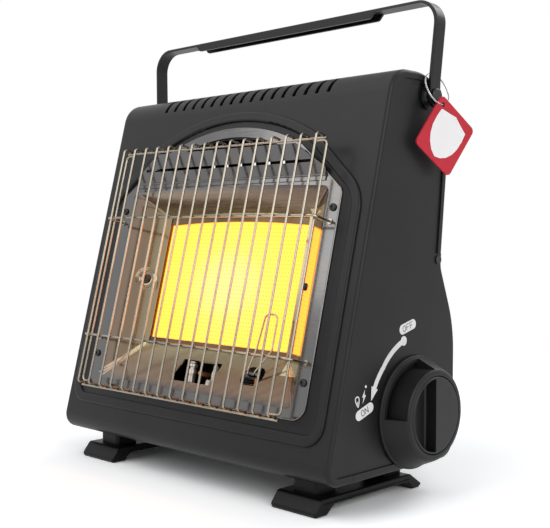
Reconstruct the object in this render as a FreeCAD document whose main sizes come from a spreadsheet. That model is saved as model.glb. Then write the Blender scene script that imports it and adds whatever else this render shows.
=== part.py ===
import FreeCAD, Part
import math
import os
from types import SimpleNamespace

from FreeCAD import Placement, Rotation, Vector

# Portable radiant gas heater: a black sheet-steel cabinet that leans back, with a ceramic burner plaque
# in a bright reflector behind a wire guard, a rear bay for a gas cartridge, a valve knob on the right
# and a folding strip handle. Millimetres, +Z up, front towards -Y, origin on the standing plane.

os.makedirs("parts", exist_ok=True)
doc = FreeCAD.newDocument("portable_heater")
sheet = doc.addObject("Spreadsheet::Sheet", "sizes")

# Driving sizes. Names in _half are measured from the middle plane, and heights on the front face run
# up its slope from the standing plane.
SIZES = [
    ("body_width", 254.0),
    ("body_bottom", 19.5),
    ("body_top", 257.2),
    ("face_floor", 63.9),
    ("face_tilt", 14.3),
    ("rear_depth", 64.6),
    ("rear_top_depth", 62.2),
    ("waist_height", 139.5),
    ("waist_depth", 50.2),
    ("bulge_height", 102.0),
    ("toe_round", 10.0),
    ("brow_round", 17.6),
    ("back_round", 34.0),
    ("waist_round", 14.0),
    ("bulge_round", 80.0),
    ("heel_round", 12.0),
    ("gauge", 1.0),
    ("edge_round", 2.6),
    ("lip_width", 5.0),
    ("top_seam", 30.0),
    ("base_seam", -34.0),
    ("seam_step", 42.0),
    ("seam_gap", 0.3),
    ("bead_width", 7.0),
    ("bead_height", 1.8),
    ("bead_half", 116.2),
    ("bead_low", 45.0),
    ("bead_side_high", 190.0),
    ("bead_shoulder_half", 72.0),
    ("bead_shoulder_high", 227.0),
    ("bead_peak", 243.0),
    ("slot_count", 17),
    ("slot_pitch", 9.75),
    ("slot_width", 3.0),
    ("slot_low", 247.0),
    ("slot_back", 22.0),
    ("flange_half", 104.1),
    ("flange_low", 54.7),
    ("flange_side_high", 192.4),
    ("flange_shoulder_half", 65.2),
    ("flange_shoulder_high", 222.2),
    ("flange_peak", 236.0),
    ("flange_round", 10.0),
    ("flange_gauge", 1.2),
    ("flange_overlap", 8.0),
    ("screw_half", 99.5),
    ("screw_low", 77.1),
    ("screw_high", 180.9),
    ("screw_radius", 1.4),
    ("screw_head_radius", 2.4),
    ("screw_head_height", 1.4),
    ("screw_length", 8.0),
    ("hole_clearance", 0.15),
    ("mouth_half", 94.0),
    ("mouth_low", 61.0),
    ("mouth_high", 194.5),
    ("mouth_round", 5.0),
    ("mouth_rise", 2.5),
    ("sight_rise", 2.5),
    ("reflector_gauge", 0.8),
    ("plaque_width", 132.0),
    ("plaque_height", 92.0),
    ("plaque_thickness", 13.0),
    ("plaque_middle", 134.8),
    ("plaque_setback", 17.6),
    ("frame_cover", 6.0),
    ("frame_gauge", 1.2),
    ("wall_screw_share", 0.7),
    ("window_low", 67.0),
    ("window_high", 82.0),
    ("window_left", -20.5),
    ("window_right", 17.0),
    ("port_left", 39.7),
    ("port_right", 57.3),
    ("port_low", 71.0),
    ("port_high", 83.0),
    ("hood_low", 201.0),
    ("hood_length", 20.5),
    ("hood_angle", 19.0),
    ("hood_half", 90.0),
    ("hood_top_half", 66.0),
    ("hood_slot_half", 80.0),
    ("hood_slot_width", 1.8),
    ("vent_margin", 7.0),
    ("vent_half", 62.0),
    ("vent_low", 204.0),
    ("mixer_height", 160.0),
    ("mixer_out", -43.0),
    ("mixer_radius", 8.5),
    ("mixer_reach", 84.0),
    ("gas_pipe_radius", 2.0),
    ("wire_radius", 0.75),
    ("weld_gap", 0.03),
    ("guard_count", 16),
    ("guard_pitch", 12.3),
    ("guard_front", 18.2),
    ("guard_rail", 12.0),
    ("guard_top", 222.0),
    ("guard_bottom", 55.2),
    ("guard_end_half", 96.0),
    ("guard_tie_half", 99.3),
    ("guard_tie_high", 172.2),
    ("guard_tie_low", 88.6),
    ("guard_bend", 4.0),
    ("handle_pivot_depth", 37.5),
    ("handle_pivot_height", 243.0),
    ("handle_top", 302.0),
    ("handle_splay", 4.0),
    ("handle_bend_height", 253.0),
    ("handle_gap", 0.4),
    ("handle_lean", 2.7),
    ("strip_width", 10.0),
    ("strip_gauge", 2.0),
    ("handle_corner", 15.0),
    ("handle_standoff", 2.9),
    ("handle_eye", 6.5),
    ("grip_half", 86.0),
    ("grip_gauge", 1.4),
    ("grip_drop", 5.8),
    ("pivot_radius", 2.5),
    ("pivot_head_radius", 4.6),
    ("pivot_head_height", 1.5),
    ("pivot_clearance", 0.05),
    ("recess_front", 31.0),
    ("recess_low", 222.0),
    ("recess_depth", 1.5),
    ("recess_eye", 11.5),
    ("boss_radius", 7.6),
    ("knob_depth", 22.7),
    ("knob_height", 52.9),
    ("housing_radius", 34.2),
    ("housing_flange", 2.4),
    ("housing_height", 16.9),
    ("rim_radius", 26.8),
    ("rim_round", 3.2),
    ("well_radius", 23.4),
    ("well_floor", 2.0),
    ("pocket_outer", 32.6),
    ("pocket_step", 30.4),
    ("pocket_ledge", 3.8),
    ("pocket_floor", 1.0),
    ("pocket_inner", 27.0),
    ("knob_gap", 0.4),
    ("knob_recess", 8.0),
    ("knob_wall", 1.3),
    ("spindle_radius", 3.0),
    ("spindle_grip", 5.5),
    ("spindle_insert", 12.0),
    ("valve_left", 89.0),
    ("valve_right", 122.0),
    ("valve_radius", 20.0),
    ("collar_gap", 5.2),
    ("shield_front", -12.5),
    ("shield_knee", 70.0),
    ("shield_top", 93.5),
    ("shield_back", 59.0),
    ("cartridge_radius", 34.0),
    ("cartridge_depth", 24.5),
    ("cartridge_height", 55.8),
    ("cartridge_clearance", 0.6),
    ("door_low", 37.0),
    ("hinge_rise", 4.5),
    ("hinge_pin_radius", 1.5),
    ("hinge_curl", 3.2),
    ("hinge_clearance", 0.06),
    ("door_gauge", 1.2),
    ("door_side_gap", 0.5),
    ("foot_middle", 95.0),
    ("foot_width", 35.4),
    ("foot_half_length", 50.8),
    ("foot_height", 10.0),
    ("foot_arch", 5.2),
    ("foot_pad", 11.0),
    ("spacer_width", 20.0),
    ("spacer_length", 18.0),
    ("spacer_spread", 29.0),
    ("foot_screw_radius", 2.0),
    ("door_pull", 16.0),
    ("door_pull_reach", 4.0),
    ("tag_side", 35.4),
    ("tag_round", 3.2),
    ("tag_gauge", 1.2),
    ("tag_hole", 2.2),
    ("tag_hole_inset", 4.4),
    ("tag_tilt", 11.2),
    ("tag_turn", 10.0),
    ("tag_lean", -5.0),
    ("ring_radius", 10.6),
    ("ring_wire", 0.4),
    ("ring_lean", 22.0),
    ("ring_height", 257.0),
    ("pilot_pipe_radius", 1.25),
    ("electrode_radius", 2.6),
    ("probe_radius", 1.6),
    ("lead_radius", 1.25),
    ("loop_radius", 0.6),
    ("piezo_left", 92.5),
    ("piezo_depth", 51.0),
    ("piezo_height", 50.0),
    ("piezo_radius", 6.5),
]

for row, (alias, value) in enumerate(SIZES, start=1):
    sheet.set("A%d" % row, alias)
    sheet.set("B%d" % row, str(value))
    sheet.setAlias("B%d" % row, alias)
doc.recompute()
s = SimpleNamespace(**{alias: float(sheet.get(alias)) for alias, value in SIZES})

X_AXIS = Vector(1, 0, 0)
Y_AXIS = Vector(0, 1, 0)
Z_AXIS = Vector(0, 0, 1)
LEAN = math.tan(math.radians(s.face_tilt))
HALF = s.body_width / 2
PANEL = HALF - s.gauge
INNER = PANEL - s.gauge
REACH = 400.0
hinge_height = s.waist_height + s.hinge_rise

kept = []


def keep(item, node):
    """Name an object as one sub-part of the heater."""
    item.Label = node
    kept.append(item)
    return item


def feature(node, shape):
    """Hold a ready shape as a sub-part in the heater's own frame."""
    item = doc.addObject("Part::Feature", node)
    item.Shape = shape
    return keep(item, node)


def bind(item, **links):
    """Tie properties of an object to cells of the sheet."""
    for name, expression in links.items():
        item.setExpression(name.replace("__", "."), expression)


def on_face(item):
    """Put an object drawn as x, height up the slope and stand-off into the leaning front face."""
    item.Placement = Placement(Vector(0, -s.face_floor, 0), Rotation(X_AXIS, 90 - s.face_tilt))
    bind(item, Placement__Base__y="-sizes.face_floor", Placement__Rotation__Angle="90 - sizes.face_tilt")
    return item


def face_frame(shape):
    """A copy of a shape drawn on the front face, moved into the heater's frame."""
    moved = shape.copy()
    moved.Placement = Placement(Vector(0, -s.face_floor, 0), Rotation(X_AXIS, 90 - s.face_tilt))
    return moved


def face_point(across, height, out=0.0):
    """The point of the heater's frame at a place on the front face."""
    tilt = math.radians(s.face_tilt)
    depth = -s.face_floor + height * math.sin(tilt) - out * math.cos(tilt)
    return Vector(across, depth, height * math.cos(tilt) + out * math.sin(tilt))


def rounded_loop(corners):
    """Closed outline of lines and tangent arcs through (x, y, radius) corners."""
    arcs = []
    for index, (x, y, radius) in enumerate(corners):
        here = Vector(x, y, 0)
        before = Vector(*corners[index - 1][:2]) - here
        after = Vector(*corners[(index + 1) % len(corners)][:2]) - here
        before.normalize()
        after.normalize()
        half_angle = before.getAngle(after) / 2
        reach = radius / math.tan(half_angle)
        inward = before + after
        if inward.Length > 0:
            inward.normalize()
        middle = here + inward * (radius / math.sin(half_angle) - radius)
        arcs.append((here + before * reach, middle, here + after * reach, radius))
    loop = []
    for index, (start, middle, end, radius) in enumerate(arcs):
        if radius > 0:
            loop.append(Part.Arc(start, middle, end))
        following = arcs[(index + 1) % len(arcs)][0]
        if (following - end).Length > 1e-4:
            loop.append(Part.LineSegment(end, following))
    return loop


def loop_face(corners):
    """Flat face inside a rounded outline."""
    return Part.Face(Part.Wire([piece.toShape() for piece in rounded_loop(corners)]))


def slab(face, low, high):
    """Prism of a face drawn in the XY plane, between two heights."""
    lifted = face.copy()
    lifted.translate(Vector(0, 0, low))
    return lifted.extrude(Vector(0, 0, high - low))


def side_slab(face, low, high):
    """Prism of a face drawn as depth and height, between two distances across the heater."""
    turned = slab(face, low, high)
    turned.Placement = Placement(Vector(), Rotation(Vector(1, 1, 1), 120))
    return turned


def inset(face, distance):
    """The face drawn in, or out for a negative distance, by an even margin."""
    return Part.Face(face.OuterWire.makeOffset2D(-distance))


def box(low, high):
    """Box between two corners."""
    size = Vector(*high) - Vector(*low)
    return Part.makeBox(size.x, size.y, size.z, Vector(*low))


def rod(start, end, radius):
    """Round bar between two points."""
    way = Vector(*end) - Vector(*start)
    return Part.makeCylinder(radius, way.Length, Vector(*start), way)


def pipe(points, bend, radius, bore=0.0):
    """Round tube along straight runs joined by tangent bends."""
    path = [Vector(*point) for point in points]
    edges = []
    start = path[0]
    for index in range(1, len(path) - 1):
        here = path[index]
        back = (path[index - 1] - here).normalize()
        ahead = (path[index + 1] - here).normalize()
        half_angle = back.getAngle(ahead) / 2
        reach = bend / math.tan(half_angle)
        inward = (back + ahead).normalize()
        middle = here + inward * (bend / math.sin(half_angle) - bend)
        entry = here + back * reach
        leave = here + ahead * reach
        edges.append(Part.LineSegment(start, entry).toShape())
        edges.append(Part.Arc(entry, middle, leave).toShape())
        start = leave
    edges.append(Part.LineSegment(start, path[-1]).toShape())
    spine = Part.Wire(edges)
    way = path[1] - path[0]
    skin = spine.makePipeShell([Part.Wire(Part.makeCircle(radius, path[0], way))], True, False)
    if bore == 0.0:
        return skin
    return skin.cut(spine.makePipeShell([Part.Wire(Part.makeCircle(bore, path[0], way))], True, False))


def only_solid(shape):
    """The one solid of a boolean's result."""
    solids = shape.removeSplitter().Solids
    if len(solids) != 1:
        raise ValueError("expected one solid, found %d" % len(solids))
    return solids[0]


def compound_of(shapes):
    """Separate identical pieces held as one node."""
    return Part.Compound([shape.Solids[0] for shape in shapes])


# Cabinet outline in depth and height, seen from the side

outline = loop_face([
    (-s.face_floor + s.body_bottom * LEAN, s.body_bottom, s.toe_round),
    (-s.face_floor + s.body_top * LEAN, s.body_top, s.brow_round),
    (s.rear_top_depth, s.body_top, s.back_round),
    (s.waist_depth, s.waist_height, s.waist_round),
    (s.rear_depth, s.bulge_height, s.bulge_round),
    (s.rear_depth, s.body_bottom, s.heel_round),
])
inner_outline = inset(outline, s.gauge)
lip_outline = inset(outline, s.lip_width)


def side_edges(solid):
    """Outline edges at both ends of a prism that runs across the heater."""
    found = []
    for edge in solid.Edges:
        points = [vertex.Point.x for vertex in edge.Vertexes]
        if max(points) - min(points) < 1e-6:
            found.append(edge)
    return found


def rounded_block(face, half, radius):
    """Prism of the side outline with its two end outlines rounded over."""
    block = side_slab(face, -half, half)
    return block.makeFillet(radius, side_edges(block))


cabinet_skin = rounded_block(outline, HALF, s.edge_round).cut(
    rounded_block(inner_outline, PANEL, s.edge_round - s.gauge))
cabinet_band = cabinet_skin.common(side_slab(outline.cut(lip_outline), -REACH, REACH))


def zone(corners):
    """Prism across the whole cabinet over a polygon of depth and height."""
    return side_slab(loop_face([(depth, height, 0) for depth, height in corners]), -REACH, REACH)


front_zone = zone([(-REACH, 0), (s.base_seam, 0), (s.base_seam, s.seam_step),
                   (s.top_seam, s.seam_step), (s.top_seam, REACH), (-REACH, REACH)])
rear_slope = (s.rear_top_depth - s.waist_depth) / (s.body_top - s.waist_height)
hinge_depth = (s.waist_depth + (hinge_height - s.waist_height) * rear_slope
               - s.hinge_curl * math.hypot(1, rear_slope))
hinge_top = hinge_height + s.hinge_curl + 2 * s.seam_gap
rear_zone = zone([(s.top_seam + s.seam_gap, hinge_top), (REACH, hinge_top), (REACH, REACH),
                  (s.top_seam + s.seam_gap, REACH)])
base_zone = zone([(s.base_seam + s.seam_gap, 0), (REACH, 0), (REACH, s.door_low - s.seam_gap),
                  (s.base_seam + s.seam_gap, s.door_low - s.seam_gap)])


# Outlines on the front face, in distance across and height up the slope

def arched(half, low, side_high, shoulder_half, shoulder_high, peak, corner, side_round, shoulder_round):
    """Closed outline with square sides, sloping shoulders and an arched top."""
    rise = peak - shoulder_high
    arch = (shoulder_half ** 2 + rise ** 2) / (2 * rise)
    apex = shoulder_high + shoulder_half * math.tan(math.asin(shoulder_half / arch))
    slack = 0.90
    return loop_face([
        (-half, low, corner),
        (half, low, corner),
        (half, side_high, side_round),
        (shoulder_half, shoulder_high, shoulder_round),
        (0, apex, arch * slack),
        (-shoulder_half, shoulder_high, shoulder_round),
        (-half, side_high, side_round),
    ])


flange_face = arched(s.flange_half, s.flange_low, s.flange_side_high, s.flange_shoulder_half,
                     s.flange_shoulder_high, s.flange_peak, s.flange_round, s.flange_round * 0.6, 3.0)
bead_face = arched(s.bead_half, s.bead_low, s.bead_side_high, s.bead_shoulder_half,
                   s.bead_shoulder_high, s.bead_peak, s.flange_round, s.flange_round * 2.4, 16.0)
screw_spots = [Vector(side * s.screw_half, height, 0)
               for height in (s.screw_low, s.screw_high) for side in (-1, 1)]


def screw_holes(low, high):
    """Drills for the four flange screws, drawn on the front face."""
    radius = s.screw_radius + s.hole_clearance
    return [Part.makeCylinder(radius, high - low, spot + Vector(0, 0, low)) for spot in screw_spots]


def tie_holes(low, high):
    """Drills for the ends of the two guard ties, drawn on the front face."""
    radius = s.wire_radius + s.hole_clearance
    return [Part.makeCylinder(radius, high - low, Vector(side * s.guard_tie_half, height, low))
            for height in (s.guard_tie_low, s.guard_tie_high) for side in (-1, 1)]


def make_front_fascia():
    """Pressed front sheet: rolled lips, embossed bead, vent slots over the brow and the burner opening."""
    panel = cabinet_band.common(front_zone)
    half_bead = s.bead_width / 2
    ring = inset(bead_face, -half_bead).cut(inset(bead_face, half_bead))
    bead = slab(ring, -s.gauge / 2, s.bead_height)
    crest = [edge for edge in bead.Edges if abs(edge.BoundBox.ZMin - s.bead_height) < 1e-6]
    bead = bead.makeFillet(min(s.bead_height, half_bead) * 0.9, crest)
    ledge = 2 * s.gauge
    mouth = box((-s.mouth_half - ledge, s.mouth_low - ledge, -REACH / 8),
                (s.mouth_half + ledge, s.mouth_high + s.reflector_gauge, REACH / 8))
    opening = slab(inset(flange_face, s.flange_overlap), -REACH / 8, REACH / 8).fuse(mouth)
    panel = panel.fuse(face_frame(bead)).cut([face_frame(opening)])
    panel = panel.cut([face_frame(hole) for hole in screw_holes(-s.lip_width, s.lip_width)])
    panel = panel.cut([face_frame(hole) for hole in tie_holes(-s.lip_width, s.lip_width)])
    first = -(s.slot_count - 1) / 2 * s.slot_pitch
    slots = []
    for index in range(int(s.slot_count)):
        middle = first + index * s.slot_pitch
        slots.append(box((middle - s.slot_width / 2, -s.face_floor, s.slot_low),
                         (middle + s.slot_width / 2, s.slot_back, s.body_top + s.gauge)))
    return feature("front_fascia", only_solid(panel.cut(slots)))


make_front_fascia()


def vent_slots(columns, pitch, length, width, rows, depth):
    """Rounded slots through the rear wall, spread across the heater in rows."""
    slots = []
    for height in rows:
        for index in range(columns):
            middle = (index - (columns - 1) / 2) * pitch
            slot = box((middle - width / 2, depth, height - length / 2),
                       (middle + width / 2, REACH, height + length / 2))
            edges = [edge for edge in slot.Edges if abs(edge.tangentAt(edge.FirstParameter).y) > 0.9]
            slots.append(slot.makeFillet(width * 0.45, edges))
    return slots


def make_rear_panel():
    """Upper back sheet from the top seam down to the door hinge, with two rows of vents."""
    panel = cabinet_band.common(rear_zone)
    low = hinge_top + (s.body_top - hinge_top) * 0.22
    high = hinge_top + (s.body_top - hinge_top) * 0.52
    slots = vent_slots(13, 15.0, 16.0, 3.2, (low, high), s.top_seam + s.lip_width)
    return feature("rear_panel", only_solid(panel.cut(slots)))


foot_spots = [(side * s.foot_middle, end * (s.spacer_spread + 2)) for side in (-1, 1) for end in (-1, 1)]


def foot_drills(radius, low, high):
    """Drills through the feet, their necks and the floor of the cabinet."""
    return [Part.makeCylinder(radius, high - low, Vector(across, depth, low)) for across, depth in foot_spots]


def make_base_plate():
    """Floor sheet of the cabinet, turned up at the back below the door."""
    plate = cabinet_band.common(base_zone)
    holes = foot_drills(s.foot_screw_radius + s.hole_clearance, s.body_bottom - 1, s.body_bottom + 5)
    return feature("base_plate", only_solid(plate.cut(holes)))


panel_face = inset(inner_outline, s.edge_round - s.gauge)
panel_open = outline.common(loop_face([
    (0, s.door_low, 0), (REACH, s.door_low, 0), (REACH, hinge_top, 0), (0, hinge_top, 0)]))


def recess_outline():
    """Shallow recess round the handle pivot, kept inside the lips of the cabinet."""
    reach = s.rear_top_depth
    drawn = loop_face([
        (s.recess_front, s.body_top, 0),
        (s.recess_front, s.recess_low, 6.0),
        (s.recess_front + 8, s.recess_low - 8, 8.0),
        (reach, s.recess_low - 22, 0),
        (reach, s.body_top, 0),
    ])
    eye = Part.Face(Part.Wire(Part.makeCircle(
        s.recess_eye, Vector(s.handle_pivot_depth, s.handle_pivot_height, 0))))
    drawn = drawn.fuse(eye).removeSplitter().Faces[0]
    return drawn.common(inset(outline, s.lip_width + s.gauge)).Faces[0]


def make_side_panel(node, side):
    """Flat side sheet with a recess round the handle pivot."""
    recess = recess_outline()
    floor = PANEL - s.recess_depth
    panel = side_slab(panel_face, INNER, PANEL)
    panel = panel.fuse([side_slab(panel_open, INNER, PANEL),
                        side_slab(inset(recess, -s.gauge), floor - s.gauge, INNER)])
    pivot = Vector(0, s.handle_pivot_depth, s.handle_pivot_height)
    boss = Part.makeCylinder(s.boss_radius, s.gauge + s.recess_depth, pivot + X_AXIS * (floor - s.gauge), X_AXIS)
    panel = panel.cut(side_slab(recess, floor, PANEL + 1)).fuse(boss)
    drills = [Part.makeCylinder(s.pivot_radius + s.pivot_clearance, REACH, pivot, X_AXIS)]
    hinge = Vector(0, hinge_depth, hinge_height)
    drills.append(Part.makeCylinder(s.hinge_pin_radius + s.hinge_clearance, REACH, hinge, X_AXIS))
    if side > 0:
        axle = Vector(0, s.knob_depth, s.knob_height)
        drills.append(Part.makeCylinder(s.spindle_radius * 1.6, REACH, axle, X_AXIS))
    panel = only_solid(panel.cut(drills))
    if side < 0:
        panel = panel.mirror(Vector(), X_AXIS)
    return feature(node, panel)


def make_door():
    """Rear hatch over the cartridge bay, hung from a curl round the hinge pin."""
    half = INNER - s.door_side_gap
    skin = side_slab(outline.cut(inset(outline, s.door_gauge)), -half, half)
    window = zone([(s.waist_depth - 12, s.door_low + s.seam_gap), (REACH, s.door_low + s.seam_gap),
                   (REACH, hinge_height), (s.waist_depth - 12, hinge_height)])
    leaf = skin.common(window)
    start = Vector(-half, hinge_depth, hinge_height)
    curl = Part.makeCylinder(s.hinge_curl, 2 * half, start, X_AXIS)
    bore = Part.makeCylinder(s.hinge_pin_radius + s.hinge_clearance, 2 * half, start, X_AXIS)
    pull = box((-s.door_pull, s.rear_depth - s.gauge, s.door_low + s.seam_gap),
               (s.door_pull, s.rear_depth + s.door_pull_reach, s.door_low + s.seam_gap + s.gauge * 1.5))
    edges = [edge for edge in pull.Edges
             if abs(edge.tangentAt(edge.FirstParameter).z) > 0.9 and edge.BoundBox.YMin > s.rear_depth]
    pull = pull.makeFillet(s.door_pull_reach * 0.8, edges)
    slots = vent_slots(9, 19.0, 15.0, 3.6, (s.bulge_height - 12, s.knob_height + 5), s.waist_depth)
    door = leaf.fuse([curl, pull]).cut([bore] + slots)
    return feature("cartridge_door", only_solid(door))


def make_hinge_pin():
    """Hinge pin across the cabinet, headed at both ends."""
    start = Vector(-PANEL, hinge_depth, hinge_height)
    pin = Part.makeCylinder(s.hinge_pin_radius, 2 * PANEL, start, X_AXIS)
    heads = [Part.makeCylinder(s.hinge_pin_radius * 1.8, s.gauge * 0.8, Vector(x, start.y, start.z), X_AXIS)
             for x in (-PANEL - s.gauge * 0.8, PANEL)]
    return feature("door_hinge_pin", only_solid(pin.fuse(heads)))


def make_door_catch():
    """Two leaf springs that stand on the floor's turned-up edge behind the door."""
    base = s.rear_depth - s.gauge
    leaves = []
    for middle in (-60, 60):
        path = loop_face([
            (base, s.door_low - 5, 0), (base, s.door_low - 2.5, 1),
            (base - 1.2 * s.gauge, s.door_low - 0.8, 1), (base - 1.2 * s.gauge, s.door_low + 12, 0.3),
            (base - 2 * s.gauge, s.door_low + 12, 0.3), (base - 2 * s.gauge, s.door_low - 1.2, 1),
            (base - 0.8 * s.gauge, s.door_low - 2.9, 1), (base - 0.8 * s.gauge, s.door_low - 5, 0)])
        leaves.append(side_slab(path, middle - 8, middle + 8))
    return feature("door_catch", compound_of(leaves))


make_rear_panel()
make_base_plate()
make_side_panel("side_panel_right", 1)
make_side_panel("side_panel_left", -1)
make_door()
make_hinge_pin()
make_door_catch()


def rectangle(half, low, high, corner, across=0.0, rise=0.0):
    """Rounded rectangle on the front face, its upper edge bowed up by a rise."""
    crown = []
    if rise > 0:
        bow = 0.8
        apex = rise / (1 - bow / 2)
        crown = [(across, high + apex, bow * math.hypot(half, apex) * half / apex)]
    return loop_face([(across - half, low, corner), (across + half, low, corner),
                      (across + half, high, corner)] + crown + [(across - half, high, corner)])


def funnel(wide, narrow, top, bottom):
    """Solid that tapers from one rounded rectangle to another."""
    upper = wide.OuterWire.copy()
    upper.translate(Vector(0, 0, top))
    lower = narrow.OuterWire.copy()
    lower.translate(Vector(0, 0, bottom))
    return Part.makeLoft([upper, lower], True, True)


throat_half = s.plaque_width / 2 + 4
throat_low = s.plaque_middle - s.plaque_height / 2
throat_high = s.plaque_middle + s.plaque_height / 2
lips_out = -s.plaque_setback + s.frame_gauge
throat_out = lips_out + s.reflector_gauge


def wall_screw_seats():
    """Place and direction of the screw through each flared side wall, level with the plaque's middle."""
    slope = Vector(throat_half - s.mouth_half, 0, throat_out - s.flange_gauge)
    seats = []
    for side in (-1, 1):
        spot = Vector(side * (s.mouth_half + slope.x * s.wall_screw_share), s.plaque_middle,
                      s.flange_gauge + slope.z * s.wall_screw_share)
        seats.append((spot, Vector(side * slope.z, 0, -slope.x).normalize()))
    return seats


def make_reflector():
    """Bright pressed reflector: face flange, flared walls, gas windows and the arched vent."""
    corner = s.mouth_round
    gauge = s.reflector_gauge
    mouth = rectangle(s.mouth_half, s.mouth_low, s.mouth_high, corner, rise=s.mouth_rise)
    mouth_skin = rectangle(s.mouth_half + gauge, s.mouth_low - gauge, s.mouth_high + gauge, corner + gauge,
                           rise=s.mouth_rise)
    throat = rectangle(throat_half, throat_low, throat_high, corner / 2, rise=s.sight_rise)
    throat_skin = rectangle(throat_half + gauge, throat_low - gauge, throat_high + gauge, corner / 2 + gauge,
                            rise=s.sight_rise)
    window = rectangle(s.plaque_width / 2 + gauge, throat_low + gauge, throat_high - gauge, gauge)
    flange = slab(flange_face, 0, s.flange_gauge)
    rim = [edge for edge in flange.Edges if abs(edge.BoundBox.ZMin - s.flange_gauge) < 1e-6]
    flange = flange.makeFillet(s.flange_gauge * 0.7, rim)
    skin = funnel(mouth_skin, throat_skin, s.flange_gauge, lips_out)
    hollow = funnel(mouth, throat, s.flange_gauge + 0.001, throat_out)
    arch = inset(flange_face, s.vent_margin).common(
        rectangle(s.vent_half, s.vent_low, s.flange_peak, 0)).Faces[0]
    ports = rectangle((s.port_right - s.port_left) / 2, s.port_low, s.port_high,
                      (s.port_high - s.port_low) * 0.45, (s.port_right + s.port_left) / 2)
    gate = rectangle((s.window_right - s.window_left) / 2, s.window_low, s.window_high, 1.0,
                     (s.window_right + s.window_left) / 2)
    cuts = [hollow] + [slab(face, -REACH / 8, REACH / 8) for face in (window, arch, ports, gate)]
    cuts += screw_holes(-s.lip_width, s.lip_width) + tie_holes(-s.lip_width, s.lip_width)
    cuts += [Part.makeCylinder(s.screw_radius + s.hole_clearance, s.lip_width, spot - way * s.lip_width / 2, way)
             for spot, way in wall_screw_seats()]
    return on_face(feature("reflector", only_solid(flange.fuse(skin).cut(cuts))))


def make_deflector_hood():
    """Bright plate above the burner mouth, folded outwards and slit along its width."""
    gauge = s.reflector_gauge
    low = s.mouth_high + s.mouth_rise + gauge
    foot = box((-s.hood_half, low, s.flange_gauge), (s.hood_half, s.hood_low, s.flange_gauge + gauge))
    plate = loop_face([
        (-s.hood_half, 0, 0), (s.hood_half, 0, 0), (s.hood_half, s.hood_length * 0.25, 2),
        (s.hood_top_half, s.hood_length, 3), (-s.hood_top_half, s.hood_length, 3),
        (-s.hood_half, s.hood_length * 0.25, 2)])
    leaf = slab(plate, 0, gauge)
    level = s.hood_length * 0.41
    slit = slab(rectangle(s.hood_slot_half, level, level + s.hood_slot_width, 0.3), -gauge, 2 * gauge)
    leaf = leaf.cut(slit)
    leaf.Placement = Placement(Vector(0, s.hood_low, s.flange_gauge), Rotation(X_AXIS, s.hood_angle))
    knee = rod((-s.hood_half, s.hood_low, s.flange_gauge + gauge),
               (s.hood_half, s.hood_low, s.flange_gauge + gauge), gauge)
    knee = knee.common(box((-REACH, s.hood_low - gauge, s.flange_gauge), (REACH, s.hood_low + gauge, REACH)))
    return on_face(feature("deflector_hood", only_solid(foot.fuse([leaf, knee]))))


def screw_at(spot, way, length):
    """Pan-head screw with a cross recess, seated at a spot and pointing back against its way."""
    head = Part.makeCylinder(s.screw_head_radius, s.screw_head_height)
    crown = [edge for edge in head.Edges
             if edge.BoundBox.XLength > 1 and abs(edge.BoundBox.ZMax - s.screw_head_height) < 1e-3]
    head = head.makeFillet(s.screw_head_height * 0.6, crown)
    shank = Part.makeCylinder(s.screw_radius, length, Vector(0, 0, -length))
    arm = s.screw_head_radius * 0.55
    slot = s.screw_radius * 0.25
    cross = [box((-a, -b, s.screw_head_height * 0.45), (a, b, s.screw_head_height * 2))
             for a, b in ((arm, slot), (slot, arm))]
    screw = head.fuse(shank).cut(cross)
    screw.Placement = Placement(spot, Rotation(Z_AXIS, way))
    return screw


def make_reflector_screws():
    """Four dark screws that hold the reflector to the front sheet, and one in each flared wall."""
    lift = Vector(0, 0, s.flange_gauge)
    screws = compound_of([screw_at(spot + lift, Z_AXIS, s.screw_length) for spot in screw_spots])
    on_face(feature("reflector_screws", screws))
    screws = compound_of([screw_at(spot, way, s.screw_length / 2) for spot, way in wall_screw_seats()])
    on_face(feature("wall_screws", screws))


def make_burner_frame():
    """Steel frame round the ceramic plaque, with lips over its upper and lower edges."""
    play = 0.2
    half = s.plaque_width / 2 + play
    low = throat_low - play
    high = throat_high + play
    back = -s.plaque_setback - s.plaque_thickness
    shell = slab(rectangle(half + s.frame_gauge, low - s.frame_gauge, high + s.frame_gauge, 2), back, lips_out)
    pocket = slab(rectangle(half, low, high, 0.8), back, -s.plaque_setback)
    sight = slab(rectangle(half, low + s.frame_cover, high - s.frame_cover, 0.8, rise=s.sight_rise),
                 -s.plaque_setback, lips_out)
    ties = []
    for side in (-1, 1):
        ties.append(box((side * (half + s.frame_gauge) - (12 if side < 0 else 0), s.plaque_middle - 12, back),
                        (side * (half + s.frame_gauge) + (12 if side > 0 else 0), s.plaque_middle + 12,
                         back + s.frame_gauge)))
    return on_face(feature("burner_frame", only_solid(shell.fuse(ties).cut([pocket, sight]))))


def make_ceramic_plaque():
    """Ceramic burner plaque that slides into the frame from behind."""
    plate = slab(rectangle(s.plaque_width / 2, throat_low, throat_high, 0.8),
                 -s.plaque_setback - s.plaque_thickness, -s.plaque_setback)
    return on_face(feature("ceramic_plaque", plate))


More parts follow.
